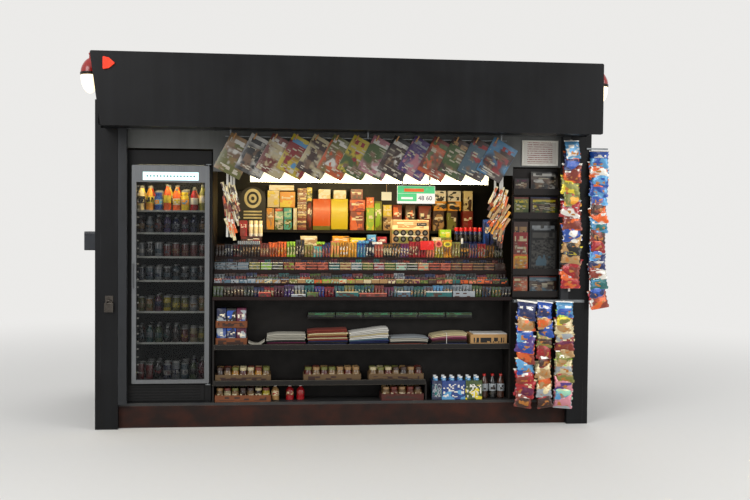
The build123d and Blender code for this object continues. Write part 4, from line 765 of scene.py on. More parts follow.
snackStrips = {
    # bags: ranges of width, depth, height, lean and tint, spread of turn, tilt and place, and their middle before the strip
    "wide": (0.88, 1.0), "deep": (0.036, 0.05), "high": (0.9, 1.05), "turn": 0.22, "tilt": 0.09, "sway": 0.005,
    "lean": (-0.26, -0.14), "tints": (0.85, 1.15), "out": 0.026,
    "strips": {
        # x, y of the strip's face, top, bottom, bag width, bag height, pitch, colours and print colours from the top
        "inner": (1.665, -0.942, 2.15, 1.01, 0.16, 0.15, 0.088,
                  "sky navy brick olive olive cherry brick royal tan black brick orange",
                  "white royal orange yellow amber white orange white black tan cherry cherry",
                  "white orange white yellow cherry silver"),
        "outer": (1.878, -0.933, 2.074, 0.88, 0.148, 0.14, 0.07,
                  "royal orange sky royal sky brick orange sky brick cherry royal navy brick teal royal brick cherry",
                  "sky white royal sky royal cocoa white teal cocoa cocoa sky white white sky navy orange white",
                  "white white sky orange white silver"),
        "lowerLeft": (1.33, -0.924, 0.94, 0.13, 0.163, 0.145, 0.083,
                      "navy tan royal violet orange sky cherry cherry brick",
                      "royal orange sky royal brick royal brick plum cocoa",
                      "white cream white white cherry cream"),
        "lowerMiddle": (1.478, -0.924, 0.94, 0.13, 0.128, 0.135, 0.075,
                        "royal tan royal olive brick brick cream tan cream cocoa",
                        "navy orange navy cocoa cherry cocoa tan orange silver brick",
                        "white cream white tan cherry"),
        "lowerRight": (1.63, -0.924, 0.94, 0.13, 0.156, 0.13, 0.062,
                       "sky olive cream cream brick cream olive cream tan rose mint rose",
                       "royal yellow tan silver plum tan tan silver olive violet sky silver",
                       "white lime cherry tan cream white"),
    },
}


def makeSnackStrips():
    rng = np.random.default_rng(23)
    parts, bands = [], []
    spread = snackStrips
    for x, face, top, bottom, width, tall, pitch, tints, inks, accents in snackStrips["strips"].values():
        count = min(len(tints.split()), int((top - bottom - tall) / pitch) + 2)
        z = np.maximum(top - tall / 2 - np.arange(count) * pitch, bottom + tall / 2)
        place = rowsOf(x + rng.normal(0, spread["sway"], count), face - spread["out"], z)
        size = rowsOf(width * rng.uniform(*spread["wide"], count), rng.uniform(*spread["deep"], count),
                      tall * rng.uniform(*spread["high"], count))
        lean = (turnAbout("z", rng.normal(0, spread["turn"], count)) @ turnAbout("y", rng.normal(0, spread["tilt"], count))
                @ turnAbout("x", rng.uniform(*spread["lean"], count)))
        tint, ink = (paints(words)[:count] for words in (tints, inks))
        tint = tint * rng.uniform(*spread["tints"], (count, 1))
        accent = np.resize(paints(accents), (count, 4))
        parts.append(goods(snackShape, size, place, tint, ink, rng.random(count), lean, accent))
        bands.append(tapeRow(x, face, bottom, top))
    makePiece("snack_bags", joined(parts), bagFilm, ("snack_strips",), angle=60)
    makePiece("snack_strip_tapes", boxesAt(bands), printedSheet)


servingPacks = {
    # x of the tape, top of its packs, lean of its packs in degrees, how far they hang to its side, colours from the top
    "tapes": ((-0.893, 1.8, -10, -0.004, "cream cocoa brick"), (-0.846, 1.8, -22, 0.004, "cream cream cocoa brick"),
              (-0.866, 1.59, -13, 0.000, "orange cream"), (1.11, 1.8, 32, 0.000, "cream cocoa tan orange amber"),
              (1.165, 1.79, 26, 0.004, "cream orange tan amber tan"), (1.15, 1.545, 14, 0.000, "tan cocoa")),
    "top": 1.88, "bottom": 1.4, "face": -0.838, "pitch": 0.052, "pack": (0.024, 0.012, 0.15), "clip": 0.004,
    # half the way between two packs of a pair: across, forwards, up
    "pair": (0.013, 0.006, 0.01), "out": 0.012, "sway": 0.003, "spread": 0.13, "leanOut": -0.12,
    "inkShade": 0.7, "accents": "white orange tan",
}


def makeServingPacks():
    rng = np.random.default_rng(31)
    parts, bands = [], []
    face, tall = servingPacks["face"], servingPacks["pack"][2]
    across, forwards, up = servingPacks["pair"]
    for x, highest, lean, beside, words in servingPacks["tapes"]:
        tint = paints(words)
        count = len(tint)
        z = highest - tall / 2 - servingPacks["clip"] - np.arange(count) * servingPacks["pitch"]
        for side in (-1, 1):
            place = rowsOf(x + beside + side * across + rng.normal(0, servingPacks["sway"], count),
                           face - servingPacks["out"] - forwards * side, z - up * side)
            tilt = np.radians(lean) + rng.normal(0, servingPacks["spread"], count)
            turns = turnAbout("y", tilt) @ turnAbout("x", servingPacks["leanOut"])
            ink = np.roll(tint, 2, axis=0) * servingPacks["inkShade"]
            accent = np.resize(paints(servingPacks["accents"]), (count, 4))
            parts.append(goods(barShape, servingPacks["pack"], place, tint, ink, rng.random(count), turns, accent))
        bands.append(tapeRow(x, face, servingPacks["bottom"], servingPacks["top"]))
    makePiece("serving_packs", joined(parts), barFilm, ("serving_strips",))
    makePiece("serving_strip_tapes", boxesAt(bands), printedSheet)


# Magazines pegged in a line, each shingled over the next

magazineLine = {
    "count": 14, "pitch": 0.148, "middle": 0.13, "tilt": 28, "height": 1.9863, "face": -0.9695,
    "size": (0.205, 0.0032, 0.28), "shingle": 0.031, "bow": 0.006, "uneven": 0.02,
    "covers": "tan white brick yellow cream olive yellow rose black violet brick cocoa cocoa sky",
    "inks": "olive black cream cherry cocoa orange moss moss cocoa rose orange moss steel cocoa",
    "accents": "white black white sky cocoa white cherry white white silver moss tan cherry cherry",
    # painted shade: covers, print and second print are darkened, as if their fronts stood in shadow
    "shades": (0.4, 0.42, 0.5),
    # pegs: size, height of their middle, how far beside and behind the cover's middle they sit
    "peg": (0.01, 0.02, 0.046), "pegHeight": 2.132, "pegBeside": -0.005, "pegBehind": 0.004,
}


def makeMagazines():
    rng = np.random.default_rng(5)
    line, count, face = magazineLine, magazineLine["count"], magazineLine["face"]
    x = line["middle"] + (np.arange(count) - (count - 1) / 2) * line["pitch"]
    turns = turnAbout("y", np.radians(line["tilt"]) + rng.normal(0, line["uneven"], count))
    # painted shade: the colours are darkened by the shades
    tint, ink, accent = (paints(line[key]) * shade for key, shade in zip(("covers", "inks", "accents"), line["shades"]))
    place = rowsOf(x, face, line["height"])
    points, quads, marks = goods(sheetShape(12), line["size"], place, tint, ink, rng.random(count), turns, accent)
    # y grows by shingle * (x - middle of the cover) and falls by bow * (0.5 - height in shares of the cover) ** 2
    across = points[:, 0] - np.repeat(x, len(points) // count)
    points[:, 1] += line["shingle"] * across - line["bow"] * (0.5 - marks["spot"][:, 2]) ** 2
    makePiece("hung_magazines", (points, quads, marks), coverPaper, ("magazines",))
    pegs = rowsOf(x + line["pegBeside"], face + line["pegBehind"], line["pegHeight"])
    peg = goods(boxShape, line["peg"], pegs, paints("tan"), None, rng.random(count), turns)
    makePiece("beech_pegs", peg, kraftBoard)


# Rack magazines in the pockets of the right bay

rackGoods = {
    # painted shade: the shades darken the covers' colour, print and second print, as if the rack stood in shadow
    "face": -0.8585, "thick": 0.0042, "gap": 0.0052, "shades": (0.42, 0.34, 0.4),
    "covers": [
        # left, right, bottom, height, place from the front, colour, print, second print
        (1.2545, 1.366, 0.9643, 0.148, 0, "brick orange cream"), (1.256, 1.3655, 0.9643, 0.158, 1, "cocoa tan white"),
        (1.2545, 1.3655, 1.1343, 0.15, 0, "orange amber yellow"), (1.255, 1.366, 1.1343, 0.318, 1, "cherry brick cream"),
        (1.256, 1.366, 1.1343, 0.398, 2, "cocoa black tan"), (1.2545, 1.3655, 1.5593, 0.146, 0, "olive moss yellow"),
        (1.2555, 1.366, 1.5593, 0.158, 1, "brick cocoa cream"), (1.2545, 1.366, 1.7393, 0.12, 0, "black cocoa plum"),
        (1.381, 1.5905, 0.9643, 0.146, 0, "steel cocoa silver"), (1.382, 1.59, 0.9643, 0.156, 1, "brick cocoa tan"),
        (1.3815, 1.5895, 1.1343, 0.401, 2, "black steel silver"), (1.381, 1.59, 1.5593, 0.152, 0, "cocoa moss yellow"),
        (1.382, 1.5905, 1.5593, 0.16, 1, "navy steel silver"), (1.3815, 1.59, 1.7393, 0.172, 0, "black cocoa white"),
    ],
    # the tall page in the wide column
    "page": (1.3825, 1.5885, 1.1343, 0.334, 0, "black coal steel"),
}


def makeRackGoods():
    rng = np.random.default_rng(8)

    def leaves(rows):
        # one upright leaf for each row
        left, right, bottom, tall, behind = np.array([r[:5] for r in rows], float).T
        face = rackGoods["face"] + rackGoods["thick"] / 2 + behind * rackGoods["gap"]
        names = zip(*(r[5].split() for r in rows))
        # painted shade: each colour is darkened by its shade
        tint, ink, accent = (paints(" ".join(words)) * shade for words, shade in zip(names, rackGoods["shades"]))
        size = rowsOf(right - left, rackGoods["thick"], tall)
        place = rowsOf((left + right) / 2, face, bottom + tall / 2)
        return goods(sheetShape(6), size, place, tint, ink, rng.random(len(rows)), None, accent)

    makePiece("rack_covers", leaves(rackGoods["covers"]), coverPaper, ("rack_magazines",))
    makePiece("rack_page", leaves([rackGoods["page"]]), textPaper)


# Papers: folded copies in stacks, and a kraft box beside them

papers = {
    "first": -0.452, "pitch": 0.306, "front": -0.839, "depth": 0.178, "bottom": 0.5853,
    # width, height, rise to the right, colours of the copies from the lowest
    "stacks": ((0.285, 0.098, 0.01, "black cocoa plum black paper paper paper paper"),
               (0.294, 0.128, 0.014, "black navy black navy brick cream brick tan cream brick brick"),
               (0.29, 0.126, 0.038, "navy black navy navy steel white white cream white white white"),
               (0.285, 0.074, -0.004, "black brick black paper paper silver"),
               (0.265, 0.1, 0.02, "navy navy black cocoa plum rose cream cream")),
    "droop": 0.007, "wave": 0.0022, "waves": 21,
    # copies: share of their pitch, spread of place and turn, how far some are pushed back
    "copyShare": 0.97, "sway": 0.004, "turn": 0.01, "pushed": 0.006, "tints": (0.6, 0.85), "inkShade": 0.6,
    "box": (0.282, 0.09), "sheetFrom": 0.42, "sheetTo": 0.5, "sheetBack": 0.004, "sheetThick": 0.006,
    "tieBeside": -0.02, "tieHalf": 0.002, "tieThick": 0.0014, "tieOut": 0.0012, "tieClear": 0.003, "tieUnder": 0.001,
    # the loose copy: left, right, height; its leaf, where its curl turns, how high its left edge comes, and the copy under it
    "loose": (-0.735, -0.615, 0.046), "leaf": 0.005, "looseDeep": 0.9, "curlFrom": 0.012, "curlTurn": 0.55, "curlLeft": 0.62,
    "under": 0.0115, "underMiddle": 0.0058, "underShade": 0.7,
}


def makePapers():
    rng = np.random.default_rng(17)
    front, deep, bottom = papers["front"], papers["depth"], papers["bottom"]
    parts = []
    for index, (width, height, rise, words) in enumerate(papers["stacks"]):
        count = len(words.split())
        step = height / count
        middle = papers["first"] + index * papers["pitch"]
        place = rowsOf(middle + rng.normal(0, papers["sway"], count), front + deep / 2 + rng.uniform(0, papers["pushed"], count),
                       bottom + (np.arange(count) + 0.5) * step)
        tint = paints(words) * rng.uniform(*papers["tints"], (count, 1))
        size = (width, deep, step * papers["copyShare"])
        points, quads, marks = goods(foldShape(13), size, place, tint, tint * papers["inkShade"],
                                     rng.random(count), turnAbout("z", rng.normal(0, papers["turn"], count)))
        # z grows up the stack by share * (rise * across - droop * |2 across| ** 3 + a small wave)
        across = (points[:, 0] - middle) / width
        wave = papers["wave"] * np.sin(papers["waves"] * points[:, 0] + index)
        points[:, 2] += (points[:, 2] - bottom) / height * (rise * across - papers["droop"] * np.abs(2 * across) ** 3 + wave)
        parts.append((points, quads, marks))
    parts.append(curledCopy())
    makePiece("folded_papers", joined(parts), newsprint, ("newspapers",))
    width, height = papers["box"]
    centre = papers["first"] + len(papers["stacks"]) * papers["pitch"]
    back, top = front + deep, bottom + height
    box = (centre - width / 2, centre + width / 2, front, back, bottom, top, "tan black")
    makePiece("kraft_box", boxesAt([box]), boxBoard)
    sheet = (centre - width * papers["sheetFrom"], centre + width * papers["sheetTo"], front + papers["sheetBack"], back,
             top, top + papers["sheetThick"], "white")
    makePiece("box_sheet", boxesAt([sheet]), printedSheet)
    tied = papers["first"] + (len(papers["stacks"]) - 1) * papers["pitch"] + papers["tieBeside"]
    left, right, near = tied - papers["tieHalf"], tied + papers["tieHalf"], front - papers["tieOut"]
    low, top, thick = bottom + papers["tieClear"], bottom + papers["stacks"][-1][1] - papers["tieUnder"], papers["tieThick"]
    ties = [(left, right, near, near + thick, low, top + papers["tieOut"], "white"),
            (left, right, near, near + deep, top, top + thick, "white")]
    makePiece("paper_tie", boxesAt(ties), printedSheet)


def curledCopy():
    # One loose copy over a flat one. Its leaf rises from the share w of its width to the height h (left (1 - w / turn)) ** 2
    # left of the turn, and ((w - turn) / (1 - turn)) ** 1.6 right of it, with the folded stadium's outline.
    left, right, tall = papers["loose"]
    front, deep, bottom = papers["front"], papers["depth"], papers["bottom"]
    leaf, start, turn = papers["leaf"], papers["curlFrom"], papers["curlTurn"]
    points, quads = foldShape(21)
    share = np.clip(points[:, 0] + 0.5, 0, 1)
    rise = np.where(share < turn, papers["curlLeft"] * np.maximum(1 - share / turn, 0) ** 2,
                    np.maximum((share - turn) / (1 - turn), 0) ** 1.6)
    place = rowsOf(left + share * (right - left), front + (points[:, 1] + 0.5) * deep * papers["looseDeep"],
                   bottom + start + (tall - start - leaf) * rise + (points[:, 2] + 0.5) * leaf)
    each = len(points)
    marks = {"tint": np.tile(paints("paper"), (each, 1)), "ink": np.tile(paints("steel"), (each, 1)),
             "accent": np.tile(paints("white"), (each, 1)), "pick": np.full(each, 0.4), "spot": points}
    middle = [((left + right) / 2, front + deep / 2, bottom + papers["underMiddle"])]
    flat = goods((points, quads), (right - left, deep, papers["under"]), middle, paints("paper") * papers["underShade"],
                 paints("steel"), [0.2])
    return joined([(place, quads, marks), flat])


# Trays with packs or jars on the shelves and the floor

trays = {
    # shades of the rusty boards and of the others
    "wall": 0.004, "endGap": 0.006, "frontGap": 0.008, "floor": 0.0043, "headroom": 0.0045, "shades": (0.6, 0.26),
    "print": "cocoa", "printShade": 0.6,
    # goods: share of their place, depth of a pack in the tray, shades of a jar and its label
    "share": 0.95, "packDeep": 0.8, "tints": (0.5, 0.8), "jarShades": (0.4, 0.7),
    "lids": "tan cocoa cream brick tan olive", "lidShade": 0.6, "packPrint": "silver royal silver",
    "rows": {
        # left, right, front, back, bottom, tray height, top of the goods, across, deep, their colours, colour of the board
        "packTrayLow": (-0.975, -0.745, -0.839, -0.689, 0.5853, 0.068, 0.142, 3, 1, "royal navy plum", "rust"),
        "packTrayHigh": (-0.975, -0.745, -0.839, -0.689, 0.7299, 0.05, 0.142, 3, 1, "navy black plum", "rust"),
        "jarTrayLeft": (-0.977, -0.567, -0.839, -0.689, 0.3183, 0.062, 0.112, 7, 2, "cocoa tan amber brick tan amber tan", "tan"),
        "jarTrayMiddle": (-0.325, 0.105, -0.839, -0.689, 0.3183, 0.062, 0.112, 7, 2, "brick tan brick tan tan brick tan", "tan"),
        "jarTrayRight": (0.165, 0.58, -0.839, -0.689, 0.3183, 0.062, 0.108, 7, 2, "tan tan brick tan cocoa tan brick", "tan"),
        "floorTrayLeft": (-0.977, -0.567, -0.855, -0.685, 0.1803, 0.05, 0.1, 7, 2, "tan cream tan cocoa tan cocoa yellow", "rust"),
        "floorTrayRight": (0.26, 0.58, -0.855, -0.685, 0.1803, 0.05, 0.1, 5, 2, "tan brick tan brick tan", "brick"),
    },
}


def makeTrays():
    rng = np.random.default_rng(29)
    boards, jars, packs = [], [], []
    lids = paints(trays["lids"])
    for name, (left, right, front, back, bottom, low, tall, across, deep, words, board) in trays["rows"].items():
        size = (right - left, back - front, low)
        middle = [((left + right) / 2, (front + back) / 2, bottom + low / 2)]
        shade = trays["shades"][0 if board == "rust" else 1]
        shape = trayShape(size, trays["wall"])
        boards.append(goods(shape, size, middle, paints(board) * shade, paints(trays["print"]) * trays["printShade"],
                            rng.random(1)))
        pitch = (size[0] - 2 * trays["endGap"]) / across
        rowPitch = (size[1] - 2 * trays["frontGap"]) / deep
        x = left + trays["endGap"] + (np.tile(np.arange(across), deep) + 0.5) * pitch
        y = front + trays["frontGap"] + (np.repeat(np.arange(deep), across) + 0.5) * rowPitch
        inside = tall - trays["headroom"]
        place = rowsOf(x, y, bottom + trays["floor"] + inside / 2)
        tint = np.tile(paints(words), (deep, 1)) * rng.uniform(*trays["tints"], (x.size, 1))
        if name.startswith("pack"):
            size = (pitch * trays["share"], size[1] * trays["packDeep"], inside)
            packs.append(goods(boxShape, size, place, tint, np.tile(paints(trays["packPrint"]), (deep, 1)),
                               rng.random(x.size)))
        else:
            wide = min(pitch, rowPitch) * trays["share"]
            caps = lids[rng.integers(0, len(lids), x.size)] * trays["lidShade"]
            body, label = (tint * shade for shade in trays["jarShades"])
            jars.append(goods(jarShape, (wide, wide, inside), place, body, label, rng.random(x.size), None, caps))
    makePiece("goods_trays", joined(boards), trayBoard, ("drink_cartons", "pack_stack"))
    makePiece("capped_jars", joined(jars), jarPrint)
    makePiece("tray_packs", joined(packs), printedCarton)


ledgePacks = {
    # painted shade: all their colours are darkened by the shade, and the lower layer of each pair is near black under
    # the green upper one
    "left": -0.295, "pitch": 0.2117, "count": 6, "front": -0.698, "back": -0.653, "bottom": 0.7903, "shade": 0.4,
    "layerPitch": 0.0185, "tall": 0.018, "from": 0.004, "to": 0.2095, "step": 0.003,
    "layers": ("black moss black", "moss leaf mint"),
}


def makeLedgePacks():
    # flat green cartons lying in pairs on the narrow ledge
    rows = []
    for index in range(ledgePacks["count"]):
        left = ledgePacks["left"] + index * ledgePacks["pitch"]
        for layer, colours in enumerate(ledgePacks["layers"]):
            base = ledgePacks["bottom"] + ledgePacks["layerPitch"] * layer
            rows.append((left + ledgePacks["from"] + ledgePacks["step"] * layer, left + ledgePacks["to"], ledgePacks["front"],
                         ledgePacks["back"], base, base + ledgePacks["tall"], colours))
    packs = boxesAt(rows)
    # painted shade: every colour of the packs is darkened
    for key in ("tint", "ink", "accent"):
        packs[2][key] *= ledgePacks["shade"]
    makePiece("ledge_packs", packs, edgedCarton)


floorDrinks = {
    "water": {"left": 0.647, "pitch": 0.0632, "count": 6, "front": -0.848, "rows": 2, "rowPitch": 0.066,
              "tall": 0.175, "wide": 0.06, "tints": "sky", "inks": "white"},
    # printed film round them: left, right, colour, print, second print
    "film": ((0.6445, 0.719, "navy teal silver"), (0.7195, 0.9, "royal sky white"),
             (0.9005, 1.029, "moss yellow white")),
    # painted shade: filmShade darkens the film's own colour
    "filmFront": -0.003, "filmBack": 0.135, "filmHeight": 0.146, "filmShade": 0.6,
    "tall": {"places": (1.061, 1.125, 1.189), "y": -0.77, "tall": 0.185, "wide": 0.06,
             "tints": "cocoa black cocoa", "inks": "silver silver silver"},
    "short": {"places": (-0.535, -0.425, -0.345), "y": -0.77, "tall": 0.112, "wide": 0.06,
              "tints": "tan cherry cherry", "inks": "cream brick cherry"},
}


def makeFloorDrinks():
    rng = np.random.default_rng(37)
    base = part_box("floor_goods")[0].z
    water, short, tall = (floorDrinks[key] for key in ("water", "short", "tall"))

    def bottles(row, x, y):
        # a bottle at each place, standing on the floor
        place = rowsOf(x, y, base + row["tall"] / 2)
        size = (row["wide"], row["wide"], row["tall"])
        return goods(bottleShape, size, place, paints(row["tints"]), paints(row["inks"]), rng.random(len(place)))

    column = np.tile(np.arange(water["count"]), water["rows"])
    behind = np.repeat(np.arange(water["rows"]), water["count"])
    pale = [bottles(water, water["left"] + (column + 0.5) * water["pitch"], water["front"] + (behind + 0.5) * water["rowPitch"])]
    pale.append(bottles(short, short["places"], short["y"]))
    makePiece("dark_bottles", bottles(tall, tall["places"], tall["y"]), redCapBottle)
    makePiece("floor_bottles", joined(pale), waterPlastic, ("floor_goods",))
    front, back = water["front"] + floorDrinks["filmFront"], water["front"] + floorDrinks["filmBack"]
    top = base + floorDrinks["filmHeight"]
    wraps = boxesAt([(left, right, front, back, base, top, colours) for left, right, colours in floorDrinks["film"]])
    # painted shade: the film's own colour is darkened
    wraps[2]["tint"] *= floorDrinks["filmShade"]
    makePiece("shrink_wraps", wraps, shrinkPrint)


# Drinks in the fridge

fridge = {
    "left": -1.561, "right": -1.045, "across": 8, "rowY": -0.735, "rowPitch": 0.06, "rows": 3, "diameter": 0.058,
    # each kind's shape and share of the shelf's height; how far the colours move from row to row
    "kinds": {"b": (bottleShape, 1.08), "j": (jarShape, 0.94), "c": (canShape, 0.94)},
    "sway": 0.0012, "shorter": 0.16, "moved": 3, "clear": 0.0003,
    "levels": (
        # floor, height, how bright its colours are (painted shade: the shelves below the lit top one are darkened),
        # shapes (bottle, jar, can), colours, print colours
        (0.3353, 0.15, 0.34, "ccbcccbb", "cherry cherry black navy silver steel moss plum",
         "cherry brick black white navy white black cherry"),
        (0.6103, 0.135, 0.32, "bbbbbjjj", "black teal moss black cocoa brick cream olive",
         "steel silver teal black black cherry tan yellow"),
        (0.8403, 0.128, 0.42, "jjbjjjjj", "olive tan plum yellow olive olive silver tan",
         "tan olive navy olive yellow tan white olive"),
        (1.0703, 0.124, 0.3, "ccccbccc", "navy steel silver black steel black steel cocoa",
         "silver navy steel steel black silver black steel"),
        (1.2453, 0.122, 0.38, "cccccccc", "silver black silver brick brick brick brick brick",
         "white black steel cherry tan brick cherry cocoa"),
        (1.4203, 0.132, 0.4, "bbbbbbbb", "cocoa silver cocoa violet navy plum navy cocoa",
         "tan steel brick navy silver navy black tan"),
        (1.5853, 0.186, 1.0, "bbjbbjbb", "cream amber royal orange orange yellow cherry olive",
         "black yellow sky yellow white amber white cream"),
    ),
    "light": {"place": (-1.303, -0.795, 1.908), "size": (0.018, 0.018, 0.47)},
    "clips": {"x": -1.55, "y": -0.812, "from": 0.4, "to": 1.78, "pitch": 0.057, "size": (0.031, 0.008, 0.01)},
    # a plain row of dots on the lit sign: first, last, count, radius, height of the row, thickness
    "signDots": (-1.468, -1.132, 15, 0.0065, 1.8403, 0.0008),
}


def makeDrinks():
    rng = np.random.default_rng(41)
    parts = []
    wide, pitch = fridge["diameter"], (fridge["right"] - fridge["left"]) / fridge["across"]
    for floor, tall, shade, kinds, words, printWords in fridge["levels"]:
        for row in range(fridge["rows"]):
            # painted shade: each shelf's colours are darkened by its brightness
            tint, ink = (np.roll(paints(names), row * fridge["moved"], axis=0) * shade for names in (words, printWords))
            for kind in sorted(set(kinds)):
                shape, high = fridge["kinds"][kind]
                chosen = np.array([k for k, letter in enumerate(kinds) if letter == kind])
                x = fridge["left"] + (chosen + 0.5) * pitch + rng.normal(0, fridge["sway"], chosen.size)
                height = tall * (1 - fridge["shorter"] * rng.random(chosen.size)) * high
                place = rowsOf(x, fridge["rowY"] + row * fridge["rowPitch"], floor + fridge["clear"] + height / 2)
                parts.append(goods(shape, rowsOf(wide, wide, height), place, tint[chosen], ink[chosen], rng.random(chosen.size)))
    makePiece("fridge_bottles", joined(parts), drinkPlastic, ("fridge_drinks",))
    clips = fridge["clips"]
    z = np.arange(clips["from"], clips["to"], clips["pitch"])
    studs = goods(boxShape, clips["size"], rowsOf(clips["x"], clips["y"], z), paints("white"), None, rng.random(z.size))
    makePiece("shelf_clips", studs, cardPrint)
    tube = turned([(-0.5, 0.7), (-0.49, 1.0), (0.49, 1.0), (0.5, 0.7)], 16)
    light = fridge["light"]
    lamp = goods(tube, light["size"], [light["place"]], paints("white"), None, [0.5], turnAbout("y", math.pi / 2))
    makePiece("fridge_light", lamp, wellGlow)
    first, last, count, radius, height, thick = fridge["signDots"]
    places = rowsOf(np.linspace(first, last, count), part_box("fridge_sign_panel")[0].y - thick / 2, height)
    dots = goods(turnedDisc, (2 * radius, thick, 2 * radius), places, paints("teal"), None, rng.random(count))
    makePiece("sign_dots", dots, cardPrint, body="fridge_leaf")


# Stock on the back shelf and goods on the counter

stock = {
    "boxes": [
        # left, right, front, back, bottom, top, colour, print colour
        (-0.862, -0.622, 0.58, 0.75, 1.4403, 1.78, "black cocoa"),
        (-0.612, -0.545, 0.57, 0.74, 1.4403, 1.63, "tan amber"),
        (-0.538, -0.466, 0.575, 0.74, 1.4403, 1.525, "paper moss"),
        (-0.538, -0.466, 0.58, 0.74, 1.5253, 1.6, "mint white"),
        (-0.536, -0.468, 0.582, 0.74, 1.6003, 1.632, "brick orange"),
        (-0.46, -0.39, 0.57, 0.74, 1.4403, 1.535, "aqua moss"),
        (-0.46, -0.39, 0.575, 0.74, 1.5353, 1.632, "aqua mint"),
        (-0.376, -0.344, 0.575, 0.61, 1.4403, 1.632, "cream white"),
        (-0.605, -0.5, 0.57, 0.74, 1.6353, 1.785, "cream yellow"),
        (-0.592, -0.372, 0.58, 0.74, 1.7853, 1.832, "cream white"),
        (-0.254, -0.212, 0.58, 0.74, 1.4403, 1.69, "cocoa brick"),
        (-0.256, -0.212, 0.58, 0.74, 1.6903, 1.752, "olive yellow"),
        (-0.256, -0.212, 0.58, 0.74, 1.7523, 1.815, "yellow olive"),
        (-0.496, -0.362, 0.572, 0.74, 1.6353, 1.775, "amber yellow"),
        (-0.155, -0.05, 0.58, 0.74, 1.7143, 1.8, "white cream"),
        (-0.022, 0.09, 0.58, 0.74, 1.7163, 1.795, "cream white"),
        (0.128, 0.252, 0.58, 0.74, 1.4403, 1.61, "brick orange"),
        (0.122, 0.262, 0.59, 0.74, 1.6103, 1.71, "orange cherry"),
        (0.13, 0.24, 0.59, 0.74, 1.7103, 1.805, "brick cocoa"),
        (0.272, 0.34, 0.58, 0.74, 1.4403, 1.64, "lime yellow"),
        (0.346, 0.412, 0.585, 0.74, 1.4403, 1.7, "olive lime"),
        (0.272, 0.34, 0.59, 0.74, 1.6403, 1.735, "orange amber"),
        (0.424, 0.506, 0.59, 0.74, 1.4403, 1.565, "tan cocoa"),
        (0.424, 0.5, 0.59, 0.74, 1.5653, 1.668, "yellow cream"),
        (0.514, 0.59, 0.59, 0.74, 1.4403, 1.668, "brick orange"),
        (0.624, 0.712, 0.59, 0.74, 1.4403, 1.668, "cocoa orange"),
        (0.748, 0.856, 0.59, 0.74, 1.4403, 1.66, "brick cocoa"),
        (0.876, 0.976, 0.59, 0.74, 1.4403, 1.6203, "cocoa tan"),
        (1.003, 1.096, 0.59, 0.74, 1.4403, 1.6203, "cocoa olive"),
        (1.146, 1.238, 0.59, 0.74, 1.4403, 1.6203, "brick cherry"),
    ],
    "plain": [
        (-0.205, -0.048, 0.575, 0.74, 1.4403, 1.714, "orange olive"),
        (-0.044, 0.106, 0.572, 0.74, 1.4403, 1.716, "yellow olive"),
    ],
    "stacked": [
        (0.882, 0.995, 0.592, 0.672, 1.6206, 1.706, "amber black"),
        (0.885, 0.991, 0.594, 0.668, 1.7063, 1.8, "white black"),
        (1.008, 1.13, 0.592, 0.672, 1.6206, 1.706, "amber black"),
        (1.011, 1.126, 0.594, 0.668, 1.7063, 1.8, "white black"),
        (1.152, 1.234, 0.594, 0.668, 1.6206, 1.8, "cream cocoa"),
    ],
    "counter": [
        (-0.343, -0.216, -0.5, -0.38, 1.3303, 1.404, "cream tan"),
        (-0.807, -0.644, -0.42, -0.28, 1.3303, 1.398, "cocoa brick"),
        (-0.812, -0.758, -0.418, -0.33, 1.3983, 1.52, "cherry brick"),
        (-0.095, 0.035, -0.505, -0.4, 1.3303, 1.405, "amber black"),
        (0.042, 0.165, -0.505, -0.4, 1.3303, 1.392, "yellow black"),
        (0.18, 0.245, -0.5, -0.42, 1.3303, 1.418, "sky royal"),
        (0.255, 0.33, -0.5, -0.42, 1.3303, 1.402, "cherry brick"),
        (0.375, 0.668, -0.47, -0.33, 1.3303, 1.463, "tan olive"),
        (0.38, 0.668, -0.46, -0.335, 1.4633, 1.538, "cream tan"),
        (0.572, 0.65, -0.4606, -0.46, 1.49, 1.514, "black black"),
        (0.7, 0.765, -0.47, -0.38, 1.3303, 1.4, "cream white"),
        (1.128, 1.168, -0.4, -0.33, 1.3303, 1.545, "royal navy"),
        (1.172, 1.236, -0.48, -0.42, 1.3303, 1.44, "navy black"),
        (0.77, 0.858, -0.42, -0.32, 1.3303, 1.4, "olive moss"),
        (0.768, 0.855, -0.415, -0.325, 1.4003, 1.462, "lime yellow"),
    ],
    "ladder": {"x": -0.301, "face": 0.566, "bottom": 1.4401, "count": 18, "pitch": 0.0204, "pack": (0.078, 0.02, 0.0196),
               "lowest": "brick tan cocoa cream brick tan ", "upper": "cream white tan cream ", "ink": "brick"},
    "redJars": {"left": 0.915, "pitch": 0.0385, "count": 6, "y": -0.33, "base": 1.3303, "size": (0.038, 0.038, 0.15),
                "tint": "navy", "ink": "black"},
    "whiteJars": {"left": -0.73, "pitch": 0.0375, "count": 3, "y": -0.375, "base": 1.3983, "size": (0.034, 0.034, 0.122),
                  "tint": "white", "ink": "cream"},
    "lids": {"left": 0.406, "pitch": 0.0578, "count": 5, "face": -0.4715, "heights": (1.386, 1.436),
             "size": (0.046, 0.046, 0.004), "labelShare": 0.5, "labelOut": 0.0022},
}


